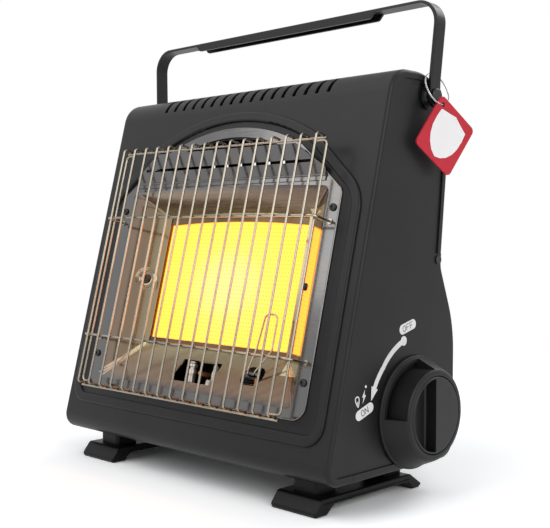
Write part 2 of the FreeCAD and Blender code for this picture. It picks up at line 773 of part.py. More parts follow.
def make_burner_body():
    """Wedge-shaped mixing chamber behind the plaque, with the mixing tube leaving to the right."""
    back = -s.plaque_setback - s.plaque_thickness
    half = s.plaque_width / 2 - 2
    gauge = s.frame_gauge
    outer = loop_face([(throat_low + 3, back, 0), (throat_high - 3, back, 0),
                       (throat_high - 9, back - 19, 5), (throat_low + 9, back - 7, 5)])
    inner = loop_face([(throat_low + 3 + gauge, back, 0), (throat_high - 3 - gauge, back, 0),
                       (throat_high - 9 - gauge, back - 19 + gauge, 4), (throat_low + 9 + gauge, back - 7 + gauge, 4)])

    def chamber(face, reach):
        """Prism across the burner over a profile of slope height and stand-off."""
        return side_slab(face, -reach, reach)

    rim = slab(rectangle(s.plaque_width / 2 + 1.4, throat_low - 1.4, throat_high + 1.4, 2), back - gauge, back)
    axis = Vector(0, s.mixer_height, s.mixer_out)
    tube = Part.makeCylinder(s.mixer_radius, s.mixer_reach, axis, X_AXIS)
    horn = Part.makeCone(s.mixer_radius, s.mixer_radius * 1.35, 10, axis + X_AXIS * s.mixer_reach, X_AXIS)
    bore = Part.makeCylinder(s.mixer_radius - gauge, s.mixer_reach, axis, X_AXIS)
    flare = Part.makeCone(s.mixer_radius - gauge, s.mixer_radius * 1.35 - gauge, 10, axis + X_AXIS * s.mixer_reach, X_AXIS)
    inlets = [Part.makeCylinder(2.4, 40, axis + Vector(s.mixer_reach - 6, 0, -20)),
              rod((s.mixer_reach - 6, s.mixer_height - 20, s.mixer_out), (s.mixer_reach - 6, s.mixer_height + 20, s.mixer_out), 2.4)]
    body = chamber(outer, half).fuse([rim, tube, horn])
    return on_face(feature("burner_body", only_solid(body.cut([chamber(inner, half - gauge), bore, flare] + inlets))))


def make_injector():
    """Brass jet in a bracket that stands on the right end of the mixing tube."""
    start = Vector(s.mixer_reach + 10, s.mixer_height, s.mixer_out)
    wide = s.mixer_radius * 1.35
    plate = Part.makeCylinder(wide, s.frame_gauge, start, X_AXIS)
    vents = [Part.makeCylinder(wide * 0.2, REACH / 4,
                               start + Vector(-1, wide * 0.62 * math.cos(turn), wide * 0.62 * math.sin(turn)), X_AXIS)
             for turn in (0, math.pi / 2, math.pi, 3 * math.pi / 2)]
    jet = Part.makeCylinder(3.0, 9, start + Vector(-3, 0, 0), X_AXIS)
    nut = Part.Face(Part.makePolygon([Vector(start.x + s.frame_gauge, start.y + 5 * math.cos(math.radians(60 * n)),
                                             start.z + 5 * math.sin(math.radians(60 * n))) for n in range(7)]))
    nut = nut.extrude(X_AXIS * 4)
    hole = Part.makeCylinder(s.gas_pipe_radius, REACH, start + Vector(1, 0, 0), X_AXIS)
    drilled = Part.makeCylinder(0.5, REACH, start + Vector(-5, 0, 0), X_AXIS)
    return on_face(feature("injector", only_solid(plate.cut(vents).fuse([jet, nut]).cut([hole, drilled]))))


def guard_vertical(across):
    """One upright of the guard, hooked back over both cross wires."""
    return pipe([(across, s.guard_top, s.guard_rail - s.wire_radius * 1.4), (across, s.guard_top, s.guard_front),
                 (across, s.guard_bottom, s.guard_front), (across, s.guard_bottom, s.guard_rail - s.wire_radius * 1.4)],
                s.wire_radius * 2.5, s.wire_radius)


def make_wire_guard():
    """Wire guard: hooked uprights over two cross wires, two curled end wires and two ties to the flange."""
    radius = s.wire_radius
    step = 2 * radius + s.weld_gap
    first = -(s.guard_count - 1) / 2 * s.guard_pitch
    uprights = [guard_vertical(first + index * s.guard_pitch) for index in range(int(s.guard_count))]
    on_face(feature("wire_guard", compound_of(uprights)))
    reach = s.guard_end_half - radius - s.weld_gap
    rails = [rod((-reach, height, s.guard_rail), (reach, height, s.guard_rail), radius)
             for height in (s.guard_top - step, s.guard_bottom - step)]
    on_face(feature("guard_cross_wires", compound_of(rails)))
    curl = s.guard_end_half - 2.2 * s.guard_bend
    high = s.guard_top - 2 * step
    low = s.guard_bottom + step
    ends = [pipe([(side * curl, high, s.guard_rail), (side * s.guard_end_half, high, s.guard_rail),
                  (side * s.guard_end_half, low, s.guard_rail), (side * curl, low, s.guard_rail)],
                 s.guard_bend * 0.75, radius) for side in (-1, 1)]
    on_face(feature("guard_end_wires", compound_of(ends)))
    plane = s.guard_front - step
    ties = []
    for height in (s.guard_tie_low, s.guard_tie_high):
        wire = pipe([(-s.guard_tie_half, height, -s.lip_width), (-s.guard_tie_half, height, plane),
                     (s.guard_tie_half, height, plane), (s.guard_tie_half, height, -s.lip_width)],
                    s.guard_bend, radius)
        collars = [Part.makeCylinder(radius * 2.2, radius, Vector(side * s.guard_tie_half, height, s.flange_gauge))
                   for side in (-1, 1)]
        ties.append(only_solid(wire.fuse(collars)))
    on_face(feature("guard_ties", compound_of(ties)))


make_reflector()
make_deflector_hood()
make_reflector_screws()
make_burner_frame()
make_ceramic_plaque()
make_burner_body()
make_injector()
make_wire_guard()


def make_handle():
    """Folding carry handle: a flat strip bent to a bail, with round pivot eyes and a curled grip."""
    outside = PANEL + s.handle_standoff + s.strip_gauge
    bend = s.handle_bend_height - s.handle_pivot_height
    top = s.handle_top - s.handle_pivot_height
    splay = (top - bend) * math.tan(math.radians(s.handle_splay))

    def bail(inward, bottom):
        """Closed outline of the bail drawn in by a distance."""
        side = outside - inward
        crown = outside + splay - inward
        round_off = s.handle_corner - inward
        return loop_face([(-side, bottom, 0), (side, bottom, 0), (side, bend, 18), (crown, top - inward, round_off),
                          (-crown, top - inward, round_off), (-side, bend, 18)])

    flat = bail(0, 0).cut(bail(s.strip_gauge, -1))
    strip = slab(flat, -s.strip_width / 2, s.strip_width / 2)
    grip = loop_face([(-s.grip_half, top - s.strip_gauge / 2, 0), (-s.grip_half + 4, top - s.grip_drop, 3),
                      (s.grip_half - 4, top - s.grip_drop, 3), (s.grip_half, top - s.strip_gauge / 2, 0)])
    edge = s.strip_width / 2
    curls = [slab(grip, edge - s.grip_gauge, edge), slab(grip, -edge, -edge + s.grip_gauge)]
    strip = strip.fuse(curls)
    crest = [item for item in strip.Edges
             if abs(item.BoundBox.YMin - top) < 1e-3 and abs(abs(item.CenterOfMass.z) - edge) < 1e-3]
    strip = strip.makeFillet(s.strip_gauge * 0.45, crest)
    strip.Placement = Placement(Vector(), Rotation(X_AXIS, 90))
    eyes = []
    for side in (-1, 1):
        start = Vector(side * outside, 0, 0)
        eyes.append(Part.makeCylinder(s.handle_eye, s.strip_gauge, start, X_AXIS * -side))
    hole = Part.makeCylinder(s.pivot_radius + s.pivot_clearance, 2 * REACH, Vector(-REACH, 0, 0), X_AXIS)
    handle = only_solid(strip.fuse(eyes).cut([hole]))
    item = doc.addObject("Part::Feature", "carry_handle")
    item.Shape = handle
    item.Placement = Placement(Vector(0, s.handle_pivot_depth, s.handle_pivot_height),
                               Rotation(X_AXIS, -s.handle_lean))
    bind(item, Placement__Base__y="sizes.handle_pivot_depth", Placement__Base__z="sizes.handle_pivot_height")
    return keep(item, "carry_handle")


def mirrored_pair(shape):
    """A shape and its mirror image in the middle plane."""
    return compound_of([shape, shape.mirror(Vector(), X_AXIS)])


def make_handle_hardware():
    """Pivot bolts, stand-off washers and nuts on both sides of the cabinet."""
    pivot = Vector(0, s.handle_pivot_depth, s.handle_pivot_height)
    seat = PANEL + s.handle_standoff + s.strip_gauge + s.handle_gap
    floor = PANEL - s.recess_depth - s.gauge
    head = Part.makeCylinder(s.pivot_head_radius, s.pivot_head_height, pivot + X_AXIS * seat, X_AXIS)
    crown = [edge for edge in head.Edges
             if edge.BoundBox.YLength > 1 and abs(edge.BoundBox.XMax - seat - s.pivot_head_height) < 1e-3]
    head = head.makeFillet(s.pivot_head_height * 0.7, crown)
    shank = Part.makeCylinder(s.pivot_radius, seat - floor + 5, pivot + X_AXIS * (floor - 5), X_AXIS)
    bolt = only_solid(head.fuse(shank))
    feature("handle_bolts", mirrored_pair(bolt))
    washer = Part.makeCylinder(s.boss_radius * 0.68, s.handle_standoff - s.handle_gap, pivot + X_AXIS * PANEL, X_AXIS)
    washer = washer.cut(Part.makeCylinder(s.pivot_radius, REACH, pivot, X_AXIS))
    feature("handle_washers", mirrored_pair(washer))
    corners = [Vector(floor - 4, pivot.y + 4.8 * math.cos(math.radians(60 * n)),
                      pivot.z + 4.8 * math.sin(math.radians(60 * n))) for n in range(7)]
    nut = Part.Face(Part.makePolygon(corners)).extrude(X_AXIS * 4)
    nut = nut.cut(Part.makeCylinder(s.pivot_radius, REACH, pivot, X_AXIS))
    feature("handle_nuts", mirrored_pair(nut))


def make_knob_housing():
    """Round housing on the right panel, with a sunk seat for the knob and an arc-shaped finger pocket."""
    axle = Vector(PANEL, s.knob_depth, s.knob_height)
    foot = Part.makeCylinder(s.housing_radius, s.housing_flange, axle, X_AXIS)
    rim = [edge for edge in foot.Edges if edge.BoundBox.YLength > 1 and edge.BoundBox.XMin > axle.x + 1]
    foot = foot.makeFillet(s.gauge * 0.9, rim)
    rise = s.housing_height - s.housing_flange
    cone = Part.makeCone(s.housing_radius - s.gauge, s.rim_radius, rise, axle + X_AXIS * s.housing_flange, X_AXIS)
    lip = [edge for edge in cone.Edges if edge.BoundBox.YLength > 1 and edge.BoundBox.XMin > axle.x + rise]
    cone = cone.makeFillet(s.rim_round, lip)
    well = Part.makeCylinder(s.well_radius, REACH, axle + X_AXIS * s.well_floor, X_AXIS)
    bore = Part.makeCylinder(s.spindle_radius * 1.6, REACH, axle, X_AXIS)
    sector = Part.makeCylinder(s.pocket_outer, REACH, axle + X_AXIS * s.pocket_ledge, X_AXIS)
    sector = sector.fuse(Part.makeCylinder(s.pocket_step, REACH, axle + X_AXIS * s.pocket_floor, X_AXIS))
    sector = sector.cut(Part.makeCylinder(s.pocket_inner, 2 * REACH, axle, X_AXIS))
    quarter = box((axle.x, axle.y - s.housing_radius, axle.z), (REACH, axle.y, axle.z + s.housing_radius))
    pocket = sector.common(quarter)
    body = foot.fuse(cone).cut([well, bore, pocket, cabinet_band])
    return feature("knob_housing", only_solid(body))


def make_control_knob():
    """Dished knob: a raised half disc with a straight grip edge over a sunk front half."""
    start = PANEL + s.well_floor + s.knob_gap
    top = PANEL + s.housing_height + s.knob_gap
    axle = Vector(start, s.knob_depth, s.knob_height)
    radius = s.well_radius - s.knob_gap
    disc = Part.makeCylinder(radius, top - start, axle, X_AXIS)
    rim = [edge for edge in disc.Edges if edge.BoundBox.YLength > 1 and edge.BoundBox.XMin > start + 1]
    disc = disc.makeFillet(1.2, rim)
    scoop = Part.makeCylinder(radius - s.knob_wall, s.knob_recess + 1, axle + X_AXIS * (top - start - s.knob_recess), X_AXIS)
    scoop = scoop.common(box((start, s.knob_depth - radius, s.knob_height - radius),
                             (REACH, s.knob_depth - s.knob_wall / 2, s.knob_height + radius)))
    floor_edges = [edge for edge in scoop.Edges
                   if edge.BoundBox.XLength < 1e-6 and edge.BoundBox.XMin < top - s.knob_recess + 1e-3]
    scoop = scoop.makeFillet(1.5, floor_edges)
    socket = Part.makeCylinder(s.spindle_radius, s.spindle_grip, axle, X_AXIS)
    socket = socket.cut(box((start, s.knob_depth - s.spindle_radius, s.knob_height + s.spindle_radius * 0.5),
                            (REACH, s.knob_depth + s.spindle_radius, s.knob_height + 2 * s.spindle_radius)))
    return feature("control_knob", only_solid(disc.cut([scoop, socket])))


def make_valve_spindle():
    """Steel spindle with a flat, turning in the valve and gripped by the knob."""
    start = s.valve_right - s.spindle_insert
    end = PANEL + s.well_floor + s.knob_gap + s.spindle_grip
    spindle = Part.makeCylinder(s.spindle_radius, end - start, Vector(start, s.knob_depth, s.knob_height), X_AXIS)
    flat = box((PANEL + s.well_floor + s.knob_gap, s.knob_depth - s.spindle_radius,
                s.knob_height + s.spindle_radius * 0.5),
               (REACH, s.knob_depth + s.spindle_radius, s.knob_height + 2 * s.spindle_radius))
    return feature("valve_spindle", only_solid(spindle.cut(flat)))


def make_gas_valve():
    """Cast valve and pressure regulator on the knob's axis, bolted to a foot on the floor."""
    axle = Vector(s.valve_left, s.knob_depth, s.knob_height)
    drum = Part.makeCylinder(s.valve_radius, s.valve_right - s.valve_left - 8, axle, X_AXIS)
    drum = drum.makeFillet(2.0, [edge for edge in drum.Edges if edge.BoundBox.YLength > 1])
    nose = Part.makeCylinder(s.valve_radius * 0.42, s.valve_right - s.valve_left, axle, X_AXIS)
    stem = Part.makeCylinder(6.0, s.gauge * 6, axle - X_AXIS * 5, X_AXIS)
    foot = box((s.valve_left + 4, s.knob_depth - 12, s.body_bottom + s.gauge),
               (s.valve_right - 14, s.knob_depth + 2, s.knob_height))
    outlet = Part.makeCylinder(4.5, s.valve_radius + 4, Vector(s.valve_left + 11, s.knob_depth, s.knob_height), Z_AXIS)
    bore = Part.makeCylinder(s.spindle_radius + s.pivot_clearance, s.spindle_insert + 1.0,
                             Vector(s.valve_right + 0.5, s.knob_depth, s.knob_height), X_AXIS * -1)
    socket = Part.makeCylinder(s.gas_pipe_radius, REACH,
                               Vector(s.valve_left + 11, s.knob_depth, s.knob_height + 6), Z_AXIS)
    inlet = Part.makeCylinder(1.5, 30, axle - X_AXIS * 6, X_AXIS)
    side = rod((s.valve_left + 14, s.knob_depth - s.valve_radius - 1, s.knob_height),
               (s.valve_left + 14, s.knob_depth - s.valve_radius + 5, s.knob_height), s.pilot_pipe_radius)
    return feature("gas_valve", only_solid(drum.fuse([nose, stem, foot, outlet]).cut([bore, socket, inlet, side])))


def make_cartridge_collar():
    """Slotted plate that the cartridge's neck locks into, standing in front of the valve."""
    left = s.valve_left - s.collar_gap - s.frame_gauge
    middle = Vector(left, s.cartridge_depth, s.cartridge_height)
    plate = Part.makeCylinder(s.cartridge_radius * 0.86, s.frame_gauge, middle, X_AXIS)
    plate = plate.fuse(box((left, s.cartridge_depth - 16, s.body_bottom + s.gauge),
                           (left + s.frame_gauge, s.cartridge_depth + 16, s.cartridge_height)))
    foot = box((left, s.cartridge_depth - 16, s.body_bottom + s.gauge),
               (left + 7, s.cartridge_depth + 16, s.body_bottom + s.gauge + s.frame_gauge))
    neck = Part.makeCylinder(s.cartridge_radius * 0.36, REACH, middle - X_AXIS * 5, X_AXIS)
    notch = box((left - 5, s.cartridge_depth - 2.5, s.cartridge_height + 8),
                (left + 5, s.cartridge_depth + 2.5, s.cartridge_height + 18))
    return feature("cartridge_collar", only_solid(plate.fuse(foot).cut([neck, notch])))


def make_cartridge_cradle():
    """Two saddles on the floor that carry the gas cartridge."""
    saddles = []
    radius = s.cartridge_radius + s.cartridge_clearance
    bore = Part.makeCylinder(radius, 2 * REACH, Vector(-REACH, s.cartridge_depth, s.cartridge_height), X_AXIS)
    for left in (-84.0, 34.0):
        block = box((left, s.cartridge_depth - 26, s.body_bottom + s.gauge),
                    (left + 12, s.cartridge_depth + 26, s.body_bottom + s.gauge + 11))
        saddles.append(block.cut(bore))
    return feature("cartridge_cradle", compound_of(saddles))


def make_heat_shield(passages):
    """Bent sheet that keeps the burner's heat off the cartridge bay."""
    gauge = s.reflector_gauge
    floor = s.body_bottom + s.gauge
    front = s.shield_front
    step = s.shield_front + 20.5
    path = loop_face([
        (front - 8, floor, 0), (front, floor, 0), (front, s.shield_knee, 4), (step, s.shield_top, 4),
        (s.shield_back, s.shield_top, 0), (s.shield_back, s.shield_top + gauge, 0),
        (step - gauge * 0.4, s.shield_top + gauge, 4 + gauge), (front - gauge, s.shield_knee + gauge * 0.4, 4 + gauge),
        (front - gauge, floor + gauge, 0), (front - 8, floor + gauge, 0)])
    return feature("heat_shield", only_solid(side_slab(path, 2 * s.gauge - INNER, INNER - 2 * s.gauge).cut(passages)))


def make_feet():
    """Two moulded foot rails, their necks up to the floor and the long screws through both."""
    half = s.foot_half_length
    top = s.foot_height
    profile = loop_face([
        (-half + 1.3, 0, 1.2), (-half + s.foot_pad, 0, 1.5), (-half + s.foot_pad + 6, s.foot_arch, 4),
        (half - s.foot_pad - 4, s.foot_arch, 4), (half - s.foot_pad + 1, 0, 1.5), (half - 3.5, 0, 1.5),
        (half, 1.8, 1.2), (half - 12, top, 5), (-half + 6, top, 3), (-half, 2.5, 2)])
    left = s.foot_middle - s.foot_width / 2
    rail = side_slab(profile, left, left + s.foot_width)
    long_edges = [edge for edge in rail.Edges
                  if edge.BoundBox.XLength < 1e-6 and edge.BoundBox.ZMax > s.foot_arch + 1]
    rail = rail.makeFillet(1.2, long_edges)
    groove = side_slab(loop_face([(-half + 8, top - 3.4, 0.3), (half - 14, top - 3.4, 0.3),
                                  (half - 14, top - 2.6, 0.3), (-half + 8, top - 2.6, 0.3)]),
                       left + s.foot_width - 0.6, REACH)
    radius = s.foot_screw_radius + s.hole_clearance
    seats = [Part.makeCylinder(radius * 2, s.foot_arch + 1.2, Vector(across, depth, 0)) for across, depth in foot_spots]
    rail = only_solid(rail.cut([groove] + foot_drills(radius, -1, REACH) + seats))
    feature("foot_rail_right", rail)
    feature("foot_rail_left", rail.mirror(Vector(), X_AXIS))
    necks = []
    for across, depth in foot_spots:
        neck = box((across - s.spacer_width / 2, depth - s.spacer_length / 2, top),
                   (across + s.spacer_width / 2, depth + s.spacer_length / 2, s.body_bottom))
        uprights = [edge for edge in neck.Edges if edge.BoundBox.ZLength > 1]
        necks.append(neck.makeFillet(3.0, uprights).cut(foot_drills(radius, -1, REACH)))
    feature("foot_necks", compound_of(necks))
    screws = []
    seat = s.foot_arch + 1.2
    for across, depth in foot_spots:
        head = Part.makeCylinder(radius * 1.8, 1.6, Vector(across, depth, seat - 1.6))
        shank = Part.makeCylinder(s.foot_screw_radius, s.body_bottom + 5 - seat, Vector(across, depth, seat - 0.5))
        nut = Part.makeCylinder(radius * 1.7, 2.4, Vector(across, depth, s.body_bottom + s.gauge))
        screws.append(head.fuse([shank, nut]))
    feature("foot_screws", compound_of(screws))


make_handle()
make_handle_hardware()
make_knob_housing()
make_control_knob()
make_valve_spindle()
make_gas_valve()
make_cartridge_collar()
make_cartridge_cradle()
make_feet()


def make_pilot():
    """Pilot tube with its bracket, the spark electrode and the flame sensor in the larger gas window."""
    under = throat_low - 0.2 - s.frame_gauge
    level = (s.window_low + s.window_high) / 2 - 0.5
    plate_out = -26.0
    left = s.window_left + 2
    plate = box((left, level - 8, plate_out), (left + 32, under, plate_out + s.frame_gauge))
    tube_x = left + 8
    rod_x = left + 26
    probe_x = left + 17
    tube = Part.makeCylinder(3.2, 21, Vector(tube_x, level, plate_out - 2))
    drop = Part.makeCylinder(2.6, 12, Vector(tube_x, level, plate_out), Vector(0, -1, 0))
    cap = Part.makeCone(3.2, 4.2, 3, Vector(tube_x, level, plate_out + 16))
    bores = [Part.makeCylinder(2.3, 22, Vector(tube_x, level, plate_out + 2)),
             Part.makeCylinder(s.pilot_pipe_radius, 9, Vector(tube_x, level - 5, plate_out), Vector(0, -1, 0)),
             Part.makeCylinder(s.electrode_radius, 20, Vector(rod_x, level, plate_out - 5)),
             Part.makeCylinder(s.probe_radius, 20, Vector(probe_x, level, plate_out - 5))]
    pilot = only_solid(plate.fuse([tube, drop, cap]).cut(bores))
    on_face(feature("pilot_burner", pilot))
    ceramic = Part.makeCylinder(s.electrode_radius, 19, Vector(rod_x, level, plate_out - 2))
    tip = pipe([(rod_x, level, plate_out + 16), (rod_x, level, plate_out + 21), (rod_x - 6, level + 1, plate_out + 21)],
               1.6, 0.6)
    block = box((rod_x - 3, level - 3, plate_out - 5), (rod_x + 3, level + 3, plate_out - 1))
    jack = rod((rod_x, level, plate_out - 3), (rod_x + 9, level, plate_out - 3), s.lead_radius)
    on_face(feature("spark_electrode", only_solid(ceramic.fuse([tip, block]).cut(jack))))
    probe = Part.makeCylinder(s.probe_radius, 20, Vector(probe_x, level, plate_out - 3))
    nose = [edge for edge in probe.Edges if edge.BoundBox.ZMin > plate_out + 16]
    on_face(feature("flame_sensor", probe.makeFillet(s.probe_radius * 0.9, nose)))
    return tube_x, rod_x, level, plate_out


def make_sensor_loop():
    """Thin wire loop that stands in front of the plaque, with its ceramic holder behind the round window."""
    under = throat_low - 0.2 - s.frame_gauge
    middle = (s.port_left + s.port_right) / 2
    level = (s.port_low + s.port_high) / 2
    holder = box((middle - 6.5, level - 4, -27), (middle + 6.5, under, -21))
    loop = pipe([(middle - 2.4, level, -26), (middle - 2.4, level, -5), (middle + 0.5, level + 18, -7.5),
                 (middle + 2.7, level + 39, -8), (middle + 13, level + 39, -8), (middle + 13.5, level + 17, -7.5),
                 (middle + 2.6, level, -5), (middle + 2.6, level, -26)], 3.6, s.loop_radius)
    return on_face(feature("sensor_loop", only_solid(holder.fuse(loop))))


def make_pipes(tube_x, rod_x, level, plate_out):
    """Gas pipe to the jet, pilot pipe, piezo igniter and its lead, routed clear of the cartridge."""
    outlet = Vector(s.valve_left + 11, s.knob_depth, s.knob_height + 9)
    jet = face_point(s.mixer_reach + 13, s.mixer_height, s.mixer_out)
    riser = s.shield_top + 24
    feature("gas_pipe", pipe([outlet, (outlet.x, outlet.y, riser), (outlet.x + 12, jet.y, riser),
                              (outlet.x + 12, jet.y, jet.z), jet], 4.5, s.gas_pipe_radius, s.gas_pipe_radius - 0.6))
    entry = face_point(tube_x, level - 6, plate_out)
    turn = face_point(tube_x, level - 22, plate_out)
    side = s.valve_left + 14
    port = s.knob_depth - s.valve_radius
    feature("pilot_pipe", pipe([entry, turn, (side, turn.y, turn.z), (side, turn.y + 8, s.knob_height),
                                (side, port + 4, s.knob_height)], 4, s.pilot_pipe_radius, s.pilot_pipe_radius - 0.4))
    jack = face_point(rod_x + 1.5, level, plate_out - 3)
    rise = Vector(s.piezo_left - 5, s.piezo_depth, s.shield_top - 6)
    feature("ignition_lead", pipe([jack, (rise.x, jack.y, jack.z), (rise.x, jack.y + 10, jack.z), rise,
                                   (rise.x, s.piezo_depth, s.piezo_height),
                                   (s.piezo_left + 4, s.piezo_depth, s.piezo_height)], 3.5, s.lead_radius))
    body = Part.makeCylinder(s.piezo_radius, INNER - s.piezo_left,
                             Vector(s.piezo_left, s.piezo_depth, s.piezo_height), X_AXIS)
    body = body.makeFillet(1.0, [edge for edge in body.Edges if edge.BoundBox.XMax < s.piezo_left + 1])
    collar = Part.makeCylinder(s.piezo_radius + 1.2, 3, Vector(INNER - 3, s.piezo_depth, s.piezo_height), X_AXIS)
    plug = rod((s.piezo_left - 1, s.piezo_depth, s.piezo_height),
               (s.piezo_left + 6, s.piezo_depth, s.piezo_height), s.lead_radius)
    feature("piezo_igniter", only_solid(body.fuse(collar).cut(plug)))
    passages = [rod((outlet.x, outlet.y, s.shield_top - 5), (outlet.x, outlet.y, s.shield_top + 5),
                    s.gas_pipe_radius + 2),
                rod((side, s.shield_front - 6, s.knob_height), (side, s.shield_front + 6, s.knob_height),
                    s.pilot_pipe_radius + 1.2),
                rod((rise.x, s.shield_front - 6, jack.z), (rise.x, s.shield_front + 6, jack.z), s.lead_radius + 3)]
    return passages


def make_tag():
    """Split ring on the right leg of the handle and the square tag that hangs from its eyelet."""
    lean = math.radians(s.ring_lean)
    down = Vector(math.sin(lean), 0, -math.cos(lean))
    inner_x = HALF + s.ring_wire * 2
    centre = Vector(inner_x, s.handle_pivot_depth, s.ring_height) + down * s.ring_radius
    normal = Vector(math.cos(lean), 0, math.sin(lean))
    ring = Part.makeTorus(s.ring_radius, s.ring_wire, centre, normal)
    low = centre + down * s.ring_radius
    turn = math.radians(s.tag_turn)
    tip = math.radians(s.tag_lean)
    along = Vector(math.sin(turn), math.cos(turn), 0)
    up = Vector(-math.sin(tip) * math.cos(turn), math.sin(tip) * math.sin(turn), math.cos(tip))
    pose = Placement(low, Rotation(along, up, along.cross(up), "XYZ"))
    half = s.tag_gauge / 2
    eyelet = Part.makeCylinder(s.tag_hole, s.tag_gauge, Vector(0, 0, -half))
    brim = [Part.makeCylinder(s.tag_hole * 1.4, 0.3, Vector(0, 0, level)) for level in (-half - 0.3, half)]
    eyelet = eyelet.fuse(brim)
    eyelet.Placement = pose
    loop = only_solid(ring.fuse(eyelet))
    feature("tag_ring", loop)
    edge = s.tag_side / 2
    square = loop_face([(-edge, -edge, s.tag_round), (edge, -edge, s.tag_round),
                        (edge, edge, s.tag_round), (-edge, edge, s.tag_round)])
    plate = slab(square, -half, half)
    plate.translate(Vector(s.tag_hole_inset - edge, s.tag_hole_inset - edge, 0))
    plate.rotate(Vector(), Z_AXIS, 45 + s.tag_tilt)
    plate.Placement = pose.multiply(plate.Placement)
    feature("hang_tag", only_solid(plate.cut(loop)))


passages = make_pipes(*make_pilot())
make_sensor_loop()
make_heat_shield(passages)
make_tag()

# Every sub-part has to be sound before it is written out

doc.recompute()
for item in kept:
    if {"Invalid", "Error"} & set(item.State):
        raise ValueError("%s did not recompute" % item.Label)
    if item.Shape.isNull() or not item.Shape.isValid():
        raise ValueError("%s is not a valid shape" % item.Label)
    item.Shape.exportStep("parts/%s.step" % item.Label)
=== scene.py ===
"""Studio scene of a portable radiant gas heater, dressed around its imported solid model."""

import logging
import math
from dataclasses import dataclass, field
from enum import Enum

import bmesh
import bpy
from mathutils import Matrix, Vector


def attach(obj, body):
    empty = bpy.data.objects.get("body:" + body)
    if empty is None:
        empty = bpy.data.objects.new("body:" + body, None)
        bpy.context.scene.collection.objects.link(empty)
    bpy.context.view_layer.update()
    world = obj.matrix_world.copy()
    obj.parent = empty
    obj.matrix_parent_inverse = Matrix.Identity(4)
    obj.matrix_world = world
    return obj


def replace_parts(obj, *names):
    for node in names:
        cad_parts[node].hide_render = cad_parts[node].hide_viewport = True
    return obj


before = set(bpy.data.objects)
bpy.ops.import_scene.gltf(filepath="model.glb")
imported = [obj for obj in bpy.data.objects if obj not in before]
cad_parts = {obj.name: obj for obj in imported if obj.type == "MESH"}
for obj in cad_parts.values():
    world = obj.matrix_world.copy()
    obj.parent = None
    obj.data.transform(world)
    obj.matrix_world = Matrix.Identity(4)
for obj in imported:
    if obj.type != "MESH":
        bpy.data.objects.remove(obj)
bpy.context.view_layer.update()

LOG = logging.getLogger("heater")
MM = 0.001
IMAGE_WIDTH = 550
SENSOR_WIDTH = 36.0
MIX_FACTOR, MIX_FIRST, MIX_SECOND, MIX_COLOUR = 0, 6, 7, 2
NOISE_RANGE = (0.3, 0.7)
LEAST_GLOSS = 0.02
WHITE = (1.0, 1.0, 1.0)

Socket = bpy.types.NodeSocket
Colour = tuple[float, float, float]
Place = tuple[float, float]
Point = tuple[float, float, float]


class Body(Enum):
    """Rigid bodies of the heater that the scene's own pieces ride on."""

    CABINET = "cabinet"
    TAG = "tag"


class Surface(Enum):
    """Small-scale texture of a finish."""

    POWDER = "powder"
    BRUSHED = "brushed"
    MOULDED = "moulded"
    POLISHED = "bright_reflection"
    CAST = "cast"


@dataclass(frozen=True)
class Finish:
    """A plain surface finish with fine relief and uneven gloss.

    Colours are linear, and lengths are in millimetres. The second colour lies in broad, soft patches over
    the first, and spread is how far the roughness strays either way.
    """

    name: str
    colour: Colour
    second: Colour
    metallic: float
    roughness: float
    spread: float
    surface: Surface
    grain: float = 0.6
    relief: float = 0.02
    coat: float = 0.0
    shine: float = 0.5

    def build(self) -> bpy.types.Material:
        """Make the node material.

        Returns:
            The finished material.
        """
        grains_in_patch, coat_roughness = 60, 0.2
        fine_octaves, broad_octaves = 3.0, 2.0
        patch_from, patch_to = 0.35, 0.7
        relief_share = 0.35 if self.surface is Surface.POLISHED else 0.6
        bench = NodeBench(self.name)
        place = bench.node("ShaderNodeTexCoord").outputs["Object"]
        fine = bench.noise(place, 1.0 / (self.grain * MM), fine_octaves)
        broad = bench.noise(place, 1.0 / (self.grain * grains_in_patch * MM), broad_octaves)
        tint = bench.ramp(broad, (patch_from, self.colour), (patch_to, self.second))
        gloss = bench.between(fine, self.roughness - self.spread, self.roughness + self.spread)
        bench.link(tint, bench.shader.inputs["Base Color"])
        bench.link(gloss, bench.shader.inputs["Roughness"])
        bench.shader.inputs["Metallic"].default_value = self.metallic
        bench.shader.inputs["Specular IOR Level"].default_value = self.shine
        bench.shader.inputs["Coat Weight"].default_value = self.coat
        bench.shader.inputs["Coat Roughness"].default_value = coat_roughness
        bench.bump(fine, self.relief * MM, relief_share)
        return bench.material


